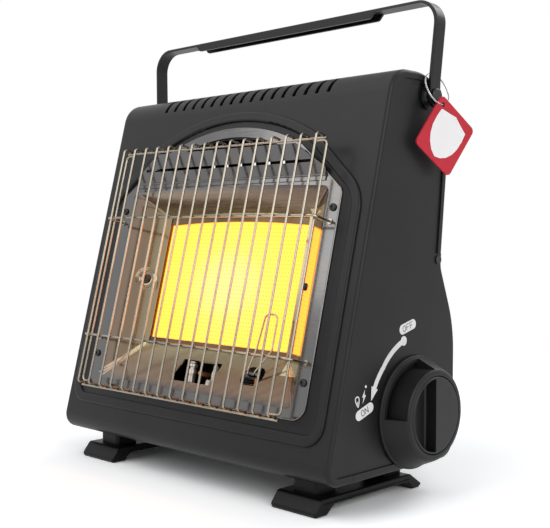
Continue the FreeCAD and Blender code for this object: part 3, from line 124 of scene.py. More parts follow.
class NodeBench:
    """Small helper that wires the nodes of one material."""

    def __init__(self, name: str) -> None:
        """Start a material with an empty principled shader.

        Args:
            name: Name of the material.
        """
        self.material = bpy.data.materials.new(name)
        self.material.use_nodes = True
        self.tree = self.material.node_tree
        self.shader = self.tree.nodes["Principled BSDF"]

    def node(self, kind: str) -> bpy.types.Node:
        """Add a node of one of Blender's kinds."""
        return self.tree.nodes.new(kind)

    def link(self, source: Socket, target: Socket) -> None:
        """Join an output to an input."""
        self.tree.links.new(source, target)

    def feed(self, target: Socket, value: Socket | float | tuple[float, ...]) -> None:
        """Drive an input by a socket, or set it to a value.

        Args:
            target: Input that takes the value.
            value: Output to link, or plain value to set.
        """
        if isinstance(value, Socket):
            self.link(value, target)
        else:
            target.default_value = value

    def split(self, place: Socket) -> tuple[Socket, ...]:
        """Take a vector apart.

        Args:
            place: Vector socket.

        Returns:
            Its X, Y and Z sockets.
        """
        parts = self.node("ShaderNodeSeparateXYZ")
        self.link(place, parts.inputs["Vector"])
        return tuple(parts.outputs)

    def noise(self, place: Socket, scale: float, detail: float) -> Socket:
        """Noise over a place.

        Args:
            place: Vector socket with the place.
            scale: Features in each metre.
            detail: Octaves of detail.

        Returns:
            The factor socket.
        """
        noise = self.node("ShaderNodeTexNoise")
        noise.inputs["Scale"].default_value = scale
        noise.inputs["Detail"].default_value = detail
        self.link(place, noise.inputs["Vector"])
        return noise.outputs["Fac"]

    def ramp(self, factor: Socket, *stops: tuple[float, Colour]) -> Socket:
        """Colour ramp through the given stops.

        Args:
            factor: Socket that drives the ramp.
            stops: Position and linear colour of each stop.

        Returns:
            The colour socket.
        """
        ramp = self.node("ShaderNodeValToRGB")
        elements = ramp.color_ramp.elements
        while len(elements) < len(stops):
            elements.new(0.5)
        for element, (position, colour) in zip(elements, stops):
            element.position = position
            element.color = (*colour, 1.0)
        self.link(factor, ramp.inputs["Fac"])
        return ramp.outputs["Color"]

    def mix(self, factor: Socket | float, first: Socket, second: Socket | tuple[float, ...],
            kind: str = "MIX") -> Socket:
        """Blend two colours.

        Args:
            factor: Share of the second colour.
            first: Colour underneath.
            second: Colour on top.
            kind: How they blend.

        Returns:
            The colour socket.
        """
        blend = self.node("ShaderNodeMix")
        blend.data_type = "RGBA"
        blend.blend_type = kind
        for slot, value in ((MIX_FACTOR, factor), (MIX_FIRST, first), (MIX_SECOND, second)):
            self.feed(blend.inputs[slot], value)
        return blend.outputs[MIX_COLOUR]

    def spread(self, value: Socket, start: Place, end: Place = (0.0, 1.0), soft: bool = False) -> Socket:
        """Map a value from one range onto another, and hold it at the ends.

        Args:
            value: Socket with the value.
            start: Range that the value has.
            end: Range that it gets.
            soft: Whether the slope eases in and out.

        Returns:
            The mapped socket.
        """
        scale = self.node("ShaderNodeMapRange")
        scale.interpolation_type = "SMOOTHSTEP" if soft else "LINEAR"
        for name, number in zip(("From Min", "From Max", "To Min", "To Max"), (*start, *end)):
            scale.inputs[name].default_value = number
        self.link(value, scale.inputs["Value"])
        return scale.outputs["Result"]

    def between(self, factor: Socket, low: float, high: float) -> Socket:
        """Map a noise from its usual middle range onto two limits, the lower held above a mirror's gloss."""
        return self.spread(factor, NOISE_RANGE, (max(low, LEAST_GLOSS), high))

    def maths(self, operation: str, first: Socket | float, second: Socket | float = 0.0) -> Socket:
        """Take one arithmetic step.

        Args:
            operation: Blender's name for the step.
            first: First socket or number.
            second: Second socket or number, where the step has one.

        Returns:
            The result's socket.
        """
        step = self.node("ShaderNodeMath")
        step.operation = operation
        for socket, value in zip(step.inputs, (first, second)):
            self.feed(socket, value)
        return step.outputs[0]

    def bump(self, height: Socket, distance: float, strength: float) -> None:
        """Drive the shader's normal with a fine relief.

        Args:
            height: Socket with the relief.
            distance: Full height of the relief in metres.
            strength: Share of the relief that shows.
        """
        relief = self.node("ShaderNodeBump")
        relief.inputs["Distance"].default_value = distance
        relief.inputs["Strength"].default_value = strength
        self.link(height, relief.inputs["Height"])
        self.link(relief.outputs["Normal"], self.shader.inputs["Normal"])


BLACK = (0.0085, 0.0085, 0.009)
DEEP_BLACK = (0.006, 0.006, 0.0064)

FINISHES = {
    "cabinet": Finish("powder_coat_black", BLACK, DEEP_BLACK, 0.0, 0.4, 0.05, Surface.POWDER, 0.5, 0.012,
                      shine=0.24),
    "handle": Finish("strip_coat_black", DEEP_BLACK, (0.0045, 0.0045, 0.0048), 0.0, 0.36, 0.06,
                     Surface.POWDER, 0.5, 0.01, shine=0.26),
    "plastic": Finish("moulded_black", (0.0085, 0.0085, 0.0088), (0.006, 0.006, 0.0063), 0.0, 0.46, 0.06,
                      Surface.MOULDED, 0.35, 0.02, shine=0.26),
    "knob": Finish("knob_black", (0.012, 0.012, 0.0124), (0.009, 0.009, 0.0093), 0.0, 0.42, 0.06,
                   Surface.MOULDED, 0.35, 0.02, shine=0.3),
    "foot": Finish("foot_black", (0.0035, 0.0035, 0.0038), (0.0025, 0.0025, 0.0027), 0.0, 0.36, 0.08,
                   Surface.MOULDED, 0.4, 0.012, shine=0.16),
    "plated": Finish("plated_steel", (0.5, 0.49, 0.47), (0.4, 0.39, 0.37), 1.0, 0.32, 0.08, Surface.BRUSHED,
                     0.5, 0.01),
    "chrome": Finish("chrome_wire", (0.38, 0.34, 0.28), (0.28, 0.25, 0.2), 1.0, 0.2, 0.05, Surface.POLISHED,
                     0.8, 0.004),
    "burnt": Finish("burnt_frame", (0.2, 0.13, 0.07), (0.1, 0.07, 0.045), 0.9, 0.34, 0.08, Surface.BRUSHED,
                    0.6, 0.01),
    "screw": Finish("black_screw", (0.03, 0.03, 0.032), (0.02, 0.02, 0.022), 0.5, 0.35, 0.08, Surface.CAST,
                    0.4, 0.01),
    "brass": Finish("turned_brass", (0.5, 0.36, 0.19), (0.34, 0.24, 0.13), 1.0, 0.28, 0.08, Surface.BRUSHED,
                    0.4, 0.01),
    "nozzle": Finish("nozzle_steel", (0.62, 0.56, 0.5), (0.5, 0.44, 0.39), 0.85, 0.3, 0.08, Surface.BRUSHED,
                     0.4, 0.01),
    "probe": Finish("probe_copper", (0.5, 0.2, 0.09), (0.34, 0.13, 0.06), 0.8, 0.34, 0.08, Surface.BRUSHED,
                    0.4, 0.01),
    "porcelain": Finish("porcelain", (0.78, 0.74, 0.66), (0.68, 0.63, 0.55), 0.0, 0.3, 0.05, Surface.MOULDED,
                        0.5, 0.005, coat=0.3),
    "cast": Finish("die_cast", (0.38, 0.38, 0.39), (0.3, 0.3, 0.31), 1.0, 0.42, 0.08, Surface.CAST,
                   0.5, 0.02),
    "tube": Finish("drawn_tube", (0.6, 0.6, 0.6), (0.5, 0.5, 0.5), 1.0, 0.25, 0.06, Surface.BRUSHED,
                   0.5, 0.005),
    "ring": Finish("ring_wire", (0.55, 0.55, 0.56), (0.42, 0.42, 0.43), 1.0, 0.18, 0.05, Surface.POLISHED,
                   0.8, 0.003),
    "lead": Finish("lead_sleeve", (0.02, 0.02, 0.02), (0.014, 0.014, 0.014), 0.0, 0.5, 0.06, Surface.MOULDED,
                   0.4, 0.01),
    "tag": Finish("tag_red", (0.52, 0.024, 0.042), (0.46, 0.02, 0.034), 0.0, 0.36, 0.05, Surface.MOULDED,
                  0.5, 0.006, shine=0.25),
    "panel": Finish("panel_white", (0.84, 0.82, 0.82), (0.8, 0.78, 0.78), 0.0, 0.4, 0.05, Surface.MOULDED,
                    0.4, 0.003),
    "print": Finish("print_grey", (0.74, 0.74, 0.73), (0.66, 0.66, 0.65), 0.0, 0.5, 0.05, Surface.MOULDED,
                    0.4, 0.004),
    "ink": Finish("print_dark", (0.16, 0.16, 0.16), (0.12, 0.12, 0.12), 0.0, 0.5, 0.05, Surface.MOULDED,
                  0.4, 0.003),
}

NODE_FINISHES = {
    "cabinet": ("front_fascia", "rear_panel", "base_plate", "side_panel_right", "side_panel_left",
                "cartridge_door"),
    "handle": ("carry_handle",),
    "plastic": ("knob_housing", "piezo_igniter"),
    "knob": ("control_knob",),
    "foot": ("foot_rail_right", "foot_rail_left", "foot_necks"),
    "plated": ("door_catch", "burner_body", "handle_washers", "handle_nuts", "valve_spindle",
               "cartridge_collar", "cartridge_cradle", "heat_shield", "foot_screws"),
    "chrome": ("wire_guard", "guard_cross_wires", "guard_end_wires", "guard_ties", "sensor_loop"),
    "burnt": ("burner_frame",),
    "screw": ("door_hinge_pin", "reflector_screws", "wall_screws", "handle_bolts"),
    "brass": ("injector",),
    "nozzle": ("pilot_burner",),
    "probe": ("flame_sensor",),
    "porcelain": ("spark_electrode",),
    "cast": ("gas_valve",),
    "tube": ("gas_pipe", "pilot_pipe"),
    "lead": ("ignition_lead",),
    "tag": ("hang_tag",),
}


def coat(name: str, material: bpy.types.Material) -> None:
    """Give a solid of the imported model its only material.

    Args:
        name: Node of the solid.
        material: Finish that it gets.
    """
    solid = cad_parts[name]
    solid.data.materials.clear()
    solid.data.materials.append(material)
    LOG.info("dressed %s in %s", name, material.name)


class MeshBench:
    """Builds one mesh piece in millimetres, in the heater's frame unless a placement is given."""

    def __init__(self, name: str, placement: Matrix | None = None) -> None:
        """Start an empty piece.

        Args:
            name: Name of the piece.
            placement: Turn and shift of the drawing, in millimetres.
        """
        self.name = name
        self.shape = bmesh.new()
        self.placement = placement or Matrix.Identity(4)

    def plate(self, outline: list[Place], low: float, high: float) -> None:
        """Add a flat plate with the given outline.

        Args:
            outline: Corners in order.
            low: Height of the under face.
            high: Height of the upper face.
        """
        under = [self.shape.verts.new((x, y, low)) for x, y in outline]
        over = [self.shape.verts.new((x, y, high)) for x, y in outline]
        self.shape.faces.new(under[::-1])
        self.shape.faces.new(over)
        count = len(outline)
        for index in range(count):
            after = (index + 1) % count
            self.shape.faces.new((under[index], under[after], over[after], over[index]))

    def ribbon(self, path: list[Place], widths: list[float], low: float, high: float,
               closed: bool = False) -> None:
        """Add a flat stroke that follows a path.

        Args:
            path: Places along the middle of the stroke.
            widths: Width at each place.
            low: Height of the under face.
            high: Height of the upper face.
            closed: Whether the stroke meets its own start.
        """
        count = len(path)
        rings = []
        for index, (x, y) in enumerate(path):
            before = path[index - 1] if index or closed else path[index]
            after = path[(index + 1) % count] if index + 1 < count or closed else path[index]
            run = Vector((after[0] - before[0], after[1] - before[1])).normalized()
            across = Vector((-run.y, run.x)) * widths[index] / 2
            rings.append([self.shape.verts.new((x + side * across.x, y + side * across.y, height))
                          for side, height in ((1, low), (-1, low), (-1, high), (1, high))])
        last = count if closed else count - 1
        for index in range(last):
            first, second = rings[index], rings[(index + 1) % count]
            corners = len(first)
            for edge in range(corners):
                turn = (edge + 1) % corners
                self.shape.faces.new((first[edge], first[turn], second[turn], second[edge]))
        if not closed:
            self.shape.faces.new(rings[0][::-1])
            self.shape.faces.new(rings[-1])

    def lathe(self, profile: list[Place], steps: int) -> None:
        """Turn a closed profile about the drawing's own Z axis.

        Args:
            profile: Radius and height of each corner.
            steps: Facets in a full turn.
        """
        rings = []
        for index in range(steps):
            angle = math.tau * index / steps
            rings.append([self.shape.verts.new((radius * math.cos(angle), radius * math.sin(angle), height))
                          for radius, height in profile])
        count = len(profile)
        for index in range(steps):
            first, second = rings[index], rings[(index + 1) % steps]
            for edge in range(count):
                after = (edge + 1) % count
                self.shape.faces.new((first[edge], second[edge], second[after], first[after]))

    def tube(self, path: list[Vector], radius: float, sides: int = 10) -> None:
        """Add a round wire along an open path, with flat ends.

        Args:
            path: Places along the wire's middle.
            radius: Radius of the wire.
            sides: Facets round the wire.
        """
        rings = []
        for index, place in enumerate(path):
            run = (path[min(index + 1, len(path) - 1)] - path[max(index - 1, 0)]).normalized()
            side = run.orthogonal() if not rings else side - run * side.dot(run)
            side.normalize()
            other = run.cross(side)
            turns = [math.tau * k / sides for k in range(sides)]
            spokes = [side * math.cos(turn) + other * math.sin(turn) for turn in turns]
            rings.append([self.shape.verts.new(place + spoke * radius) for spoke in spokes])
        for first, second in zip(rings, rings[1:]):
            for k in range(sides):
                after = (k + 1) % sides
                self.shape.faces.new((first[k], first[after], second[after], second[k]))
        self.shape.faces.new(rings[0][::-1])
        self.shape.faces.new(rings[-1])

    def finish(self, material: bpy.types.Material, body: Body, smooth: float = 40.0,
               slot: str | None = None) -> bpy.types.Object:
        """Turn the drawing into a piece that rides on a body.

        Args:
            material: Finish of the piece.
            body: Body that carries it.
            smooth: Largest angle in degrees between smoothly shaded faces.
            slot: Material slot of the record, where one fits; not used.

        Returns:
            The new object.
        """
        bmesh.ops.transform(self.shape, matrix=Matrix.Scale(MM, 4) @ self.placement, verts=self.shape.verts)
        bmesh.ops.recalc_face_normals(self.shape, faces=self.shape.faces)
        for face in self.shape.faces:
            face.smooth = True
        for edge in self.shape.edges:
            edge.smooth = edge.calc_face_angle(math.pi) < math.radians(smooth)
        mesh = bpy.data.meshes.new(self.name)
        self.shape.to_mesh(mesh)
        self.shape.free()
        mesh.materials.append(material)
        piece = bpy.data.objects.new(self.name, mesh)
        bpy.context.scene.collection.objects.link(piece)
        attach(piece, body.value)
        LOG.info("built %s on %s", self.name, body.value)
        return piece


@dataclass
class Paintwork:
    """Finishes of the solid model's own pieces."""

    made: dict[str, bpy.types.Material] = field(default_factory=dict)

    def material(self, key: str) -> bpy.types.Material:
        """Fetch the material of a finish, which is made once.

        Args:
            key: Name of the finish in FINISHES.

        Returns:
            The material.
        """
        if key not in self.made:
            self.made[key] = FINISHES[key].build()
        return self.made[key]

    def dress(self) -> None:
        """Give each plain solid its finish."""
        for key, names in NODE_FINISHES.items():
            for name in names:
                coat(name, self.material(key))


@dataclass
class FaceSlope:
    """The leaning front face: a frame of across, up the slope and outwards."""

    floor: float = 63.9
    tilt: float = 14.3

    def matrix(self) -> Matrix:
        """Placement of a drawing on the face, in millimetres."""
        turn = Matrix.Rotation(math.radians(90 - self.tilt), 4, "X")
        return Matrix.Translation((0, -self.floor, 0)) @ turn

    def coordinates(self, bench: NodeBench) -> Socket:
        """Coordinates on the face, for the material of a piece that lies along it.

        Args:
            bench: Nodes of the material.

        Returns:
            Vector socket with across, up the slope and outwards, in metres.
        """
        turned = bench.node("ShaderNodeMapping")
        turned.vector_type = "TEXTURE"
        turned.inputs["Location"].default_value = (0, -self.floor * MM, 0)
        turned.inputs["Rotation"].default_value = (math.radians(90 - self.tilt), 0, 0)
        bench.link(bench.node("ShaderNodeTexCoord").outputs["Object"], turned.inputs["Vector"])
        return turned.outputs["Vector"]


@dataclass
class GlowingPlaque:
    """Ceramic burner plaque, pierced all over and glowing.

    Radii of a port are shares of the pitch, and places in the glow run from 0 in the middle to 1 at a side.
    """

    slope: FaceSlope
    half_width: float = 66.0
    low: float = 88.8
    high: float = 180.8
    pitch: float = 2.6
    glow_middle: Colour = (1.0, 0.33, 0.11)
    glow_field: Colour = (1.0, 0.325, 0.05)
    glow_edge: Colour = (1.0, 0.325, 0.03)
    glow_stops: tuple[float, ...] = (0.0, 0.3, 0.9)
    glow_strength: float = 3.0
    port_radii: Place = (0.14, 0.3)
    port_glow: Colour = (0.7, 0.6, 0.4)
    port_share: float = 0.6
    # Darker base colour in each port, painted as the shade inside holes that the mesh doesn't cut.
    bore_shade_radii: Place = (0.2, 0.36)
    bore_painted_shade: Colour = (0.04, 0.02, 0.01)
    ceramic_tone: Colour = (0.12, 0.07, 0.03)
    roughness: float = 0.85
    relief: float = 0.4
    relief_share: float = 0.4

    def squares(self, bench: NodeBench, first: Socket, second: Socket) -> Socket:
        """Add up the squares of two numbers."""
        squared = [bench.maths("MULTIPLY", number, number) for number in (first, second)]
        return bench.maths("ADD", *squared)

    def port_reach(self, bench: NodeBench, across: Socket, up: Socket) -> Socket:
        """Distance from the nearest port's middle, with every other row shifted by half a pitch.

        Args:
            bench: Nodes of the material.
            across: Place across the face.
            up: Place up the slope.

        Returns:
            Socket with the distance as a share of the pitch.
        """
        row = bench.maths("DIVIDE", up, self.pitch * MM)
        shift = bench.maths("MULTIPLY", bench.maths("MODULO", bench.maths("FLOOR", row), 2.0), 0.5)
        column = bench.maths("ADD", bench.maths("DIVIDE", across, self.pitch * MM), shift)
        beside = bench.maths("SUBTRACT", bench.maths("FRACT", column), 0.5)
        above = bench.maths("SUBTRACT", bench.maths("FRACT", row), 0.5)
        return bench.maths("SQRT", self.squares(bench, beside, above))

    def material(self) -> bpy.types.Material:
        """Glow with rows of small darker flame ports, with painted shade in each port's base colour.

        Returns:
            The plaque's material.
        """
        bench = NodeBench("glowing_ceramic")
        across, up, _ = bench.split(self.slope.coordinates(bench))
        reach = self.port_reach(bench, across, up)
        centre = (self.low + self.high) / 2 * MM
        aside = bench.maths("MULTIPLY", across, 1.0 / (self.half_width * MM))
        rise = bench.maths("DIVIDE", bench.maths("SUBTRACT", up, centre), (self.high - self.low) / 2 * MM)
        tones = (self.glow_middle, self.glow_field, self.glow_edge)
        glow = bench.ramp(self.squares(bench, aside, rise), *zip(self.glow_stops, tones))
        port = bench.ramp(reach, *zip(self.port_radii, (self.port_glow, WHITE)))
        lit = bench.mix(self.port_share, glow, port, "MULTIPLY")
        bench.link(lit, bench.shader.inputs["Emission Color"])
        bench.shader.inputs["Emission Strength"].default_value = self.glow_strength
        # Painted shade: the base colour darkens inside each port.
        bore = bench.ramp(reach, *zip(self.bore_shade_radii, (self.bore_painted_shade, self.ceramic_tone)))
        bench.link(bore, bench.shader.inputs["Base Color"])
        bench.shader.inputs["Roughness"].default_value = self.roughness
        bench.bump(bench.between(reach, 0.0, 1.0), self.relief * MM, self.relief_share)
        return bench.material

    def dress(self) -> None:
        """Put the glow on the plaque's solid."""
        coat("ceramic_plaque", self.material())


@dataclass
class HeatedReflector:
    """Bright pressed reflector and hood, tinted by the heat towards the burner, with a painted reflection of
    the plaque on the right wall.
    """

    slope: FaceSlope
    rim: Colour = (0.15, 0.148, 0.148)
    straw: Colour = (0.24, 0.18, 0.135)
    brown: Colour = (0.23, 0.165, 0.11)
    gold: Colour = (0.31, 0.26, 0.16)
    # Brighter colour painted on the right wall as the glowing plaque's reflection and glints.
    bright_reflection: Colour = (0.72, 0.64, 0.44)
    tint_stops: tuple[float, ...] = (0.0, 0.16, 0.5, 0.95)
    depths: Place = (1.0, -16.0)
    roll_length: float = 1.2
    roll_stretch: float = 0.05
    cloud_length: float = 26.0
    unevenness: float = 0.14
    gloss: Place = (0.09, 0.17)
    relief: float = 0.5
    relief_share: float = 0.12
    # Bounds of the painted reflection: past this heat, right of this place across, and between these heights
    # up the slope.
    painted_reflection_heat: float = 0.12
    painted_reflection_from: float = 69.0
    painted_reflection_low: float = 80.0
    painted_reflection_high: float = 184.0
    dimple_radius: float = 8.0
    dimple_rise: float = 1.1
    dimple_hole: float = 2.7
    dimple_foot: float = 0.05
    dimple_curve: float = 1.5
    mouth_half: float = 94.0
    throat_half: float = 70.0
    mouth_out: float = 1.2
    throat_out: float = -15.6
    seat_share: float = 0.7
    seat_height: float = 134.8

    def material(self) -> bpy.types.Material:
        """Rolled steel that turns from grey at the rim to straw, brown and gold in the mouth, with a brighter
        colour on the right wall painted as the plaque's reflection.

        Returns:
            The reflector's material.
        """
        bench = NodeBench("heated_steel")
        face = self.slope.coordinates(bench)
        across, up, outward = bench.split(face)
        stretched = bench.node("ShaderNodeMapping")
        stretched.inputs["Scale"].default_value = (self.roll_stretch, 1.0, 1.0)
        bench.link(face, stretched.inputs["Vector"])
        rolled = bench.noise(stretched.outputs["Vector"], 1.0 / (self.roll_length * MM), 4.0)
        cloud = bench.noise(face, 1.0 / (self.cloud_length * MM), 2.0)
        depth = bench.spread(outward, (self.depths[0] * MM, self.depths[1] * MM))
        uneven = bench.maths("MULTIPLY", bench.maths("SUBTRACT", cloud, 0.5), self.unevenness)
        heat = bench.maths("ADD", depth, uneven)
        tint = bench.ramp(heat, *zip(self.tint_stops, (self.rim, self.straw, self.brown, self.gold)))
        # Painted reflection: the base colour turns brighter on the right wall in the plaque's height band,
        # standing in for its reflection.
        limits = (("GREATER_THAN", heat, self.painted_reflection_heat),
                  ("GREATER_THAN", up, self.painted_reflection_low * MM),
                  ("LESS_THAN", up, self.painted_reflection_high * MM))
        bright_reflection = bench.maths("GREATER_THAN", across, self.painted_reflection_from * MM)
        for test, value, limit in limits:
            bright_reflection = bench.maths("MULTIPLY", bright_reflection, bench.maths(test, value, limit))
        bench.link(bench.mix(bright_reflection, tint, (*self.bright_reflection, 1.0)), bench.shader.inputs["Base Color"])
        bench.shader.inputs["Metallic"].default_value = 1.0
        bench.link(bench.between(rolled, *self.gloss), bench.shader.inputs["Roughness"])
        bench.bump(cloud, self.relief * MM, self.relief_share)
        return bench.material

    def wall_seat(self) -> Matrix:
        """Placement of the dimple on the left flared wall.

        Returns:
            The placement in millimetres.
        """
        run = Vector((self.throat_half - self.mouth_half, 0, self.throat_out - self.mouth_out))
        spot = Vector((-self.mouth_half - run.x * self.seat_share, self.seat_height,
                       self.mouth_out + run.z * self.seat_share))
        out = Vector((-run.z, 0, -run.x)).normalized()
        turn = Vector((0, 0, 1)).rotation_difference(out).to_matrix().to_4x4()
        return self.slope.matrix() @ Matrix.Translation(spot) @ turn

    def dress(self) -> None:
        """Dress the pressed pieces and press the dimple round the left wall's screw."""
        steel = self.material()
        for name in ("reflector", "deflector_hood"):
            coat(name, steel)
        steps = 12
        crown = []
        for step in range(steps + 1):
            share = step / steps
            radius = self.dimple_hole + (self.dimple_radius - self.dimple_hole) * share
            rise = self.dimple_rise * math.sin(math.pi * share) ** self.dimple_curve
            crown.append((radius, self.dimple_foot + rise))
        bench = MeshBench("wall_dimple", self.wall_seat())
        bench.lathe([(self.dimple_hole, 0.0)] + crown + [(self.dimple_radius, 0.0)], 64)
        bench.finish(steel, Body.CABINET, 60.0, "bright_steel")


@dataclass
class PilotGroup:
    """Turned pilot head, spark electrode and probe that show through the reflector's windows.

    Each profile holds radii and heights up the slope from the foot of the head.
    """

    slope: FaceSlope
    head_across: float = -15.7
    head_low: float = 67.5
    head_high: float = 81.8
    out: float = -15.9
    head_radius: float = 2.9
    head_bore: float = 0.6
    head_grooves: tuple[Place, ...] = (
        (0.0, 0.0), (0.0, 4.2), (-0.5, 4.5), (-0.5, 5.1), (0.0, 5.4), (0.0, 8.4), (-0.7, 8.8), (-0.7, 10.0),
        (0.2, 10.4), (0.2, 12.2), (-0.4, 12.8))
    hood: tuple[Place, ...] = ((-0.4, -0.5), (-0.9, 0.0))
    bracket: tuple[Place, ...] = ((-3.6, -3.4), (25.5, -3.4), (26.9, -2.0), (26.9, 3.0), (-3.6, 3.0))
    bracket_low: float = -1.6
    bracket_high: float = -0.2
    electrode_across: float = 6.8
    electrode_profile: tuple[Place, ...] = (
        (0.55, 2.8), (1.6, 2.8), (2.2, 3.2), (2.2, 8.6), (1.7, 9.2), (1.7, 12.6), (1.3, 13.2), (0.55, 13.2))
    stub_across: float = 2.2
    stub_profile: tuple[Place, ...] = ((0.5, -3.0), (2.1, -3.0), (2.1, 2.6), (1.6, 3.2), (0.5, 3.2))
    spark_radius: float = 0.45
    spark_foot: float = 2.6
    spark_rise: float = 11.0
    spark_top: float = 14.0
    spark_bend: Place = (1.5, 0.8)
    spark_drop: float = 0.4
    spark_gap: float = 6.0
    spark_lift: float = 0.2
    spark_forward: float = 0.3
    probe_across: float = 45.0
    probe_profile: tuple[Place, ...] = (
        (0.3, -2.0), (1.35, -2.0), (1.35, 7.6), (1.0, 8.2), (1.0, 10.6), (0.6, 11.2), (0.3, 11.2))

    def upright(self, name: str, across: float) -> MeshBench:
        """Start a turned piece that stands up the slope, at a place across the face."""
        foot = Matrix.Translation((across, self.head_low, self.out))
        return MeshBench(name, self.slope.matrix() @ foot @ Matrix.Rotation(math.radians(-90), 4, "X"))

    def head(self, paint: Paintwork) -> bpy.types.Object:
        """Turn the pilot head with its nut, grooves and hood, on its bracket.

        Args:
            paint: Finishes to take from.

        Returns:
            The head's object.
        """
        tall = self.head_high - self.head_low
        radius = self.head_radius
        side = [(radius + step, height) for step, height in self.head_grooves]
        hood = [(radius + step, tall + drop) for step, drop in self.hood]
        bench = self.upright("pilot_head", self.head_across)
        bench.lathe([(self.head_bore, 0.0)] + side + hood + [(self.head_bore, tall)], 40)
        bench.plate(list(self.bracket), self.bracket_low, self.bracket_high)
        return bench.finish(paint.material("nozzle"), Body.CABINET, 35.0, "brass")

    def post(self, name: str, across: float, profile: tuple[Place, ...], facets: int,
             material: bpy.types.Material, slot: str) -> bpy.types.Object:
        """Turn one plain post that stands beside the head.

        Args:
            name: Name of the piece.
            across: Place of its axis across the face.
            profile: Radius and height of each corner.
            facets: Facets in a full turn.
            material: Finish of the piece.
            slot: Material slot of the record.

        Returns:
            The post's object.
        """
        bench = self.upright(name, across)
        bench.lathe(list(profile), facets)
        return bench.finish(material, Body.CABINET, 40.0, slot)

    def tip(self, paint: Paintwork) -> None:
        """Bend the spark wire from the electrode to the pilot head.

        Args:
            paint: Finishes to take from.
        """
        steps = 8
        start = Vector((self.electrode_across, self.head_low + self.spark_foot, self.out))
        high = self.head_low + self.spark_top
        wide, rise = self.spark_bend
        path = [start, start + Vector((0, self.spark_rise, 0))]
        for step in range(steps + 1):
            angle = math.pi / 2 * step / steps
            path.append(Vector((self.electrode_across - wide + wide * math.cos(angle),
                                high - self.spark_drop + rise * math.sin(angle), self.out)))
        path.append(Vector((self.head_across + self.spark_gap, high + self.spark_lift,
                            self.out + self.spark_forward)))
        bench = MeshBench("spark_wire", self.slope.matrix())
        bench.tube(path, self.spark_radius, 12)
        bench.finish(paint.material("nozzle"), Body.CABINET, 60.0, "plated_steel")

    def build(self, paint: Paintwork) -> None:
        """Build the group in place of its plain solids.

        Args:
            paint: Finishes to take from.
        """
        glaze = paint.material("porcelain")
        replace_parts(self.head(paint), "pilot_burner")
        electrode = self.post("electrode_body", self.electrode_across, self.electrode_profile, 32, glaze,
                              "white_ceramic")
        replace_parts(electrode, "spark_electrode")
        self.post("electrode_sleeve", self.stub_across, self.stub_profile, 32, glaze, "white_ceramic")
        self.tip(paint)
        self.post("probe_rod", self.probe_across, self.probe_profile, 28, paint.material("probe"), "brass")


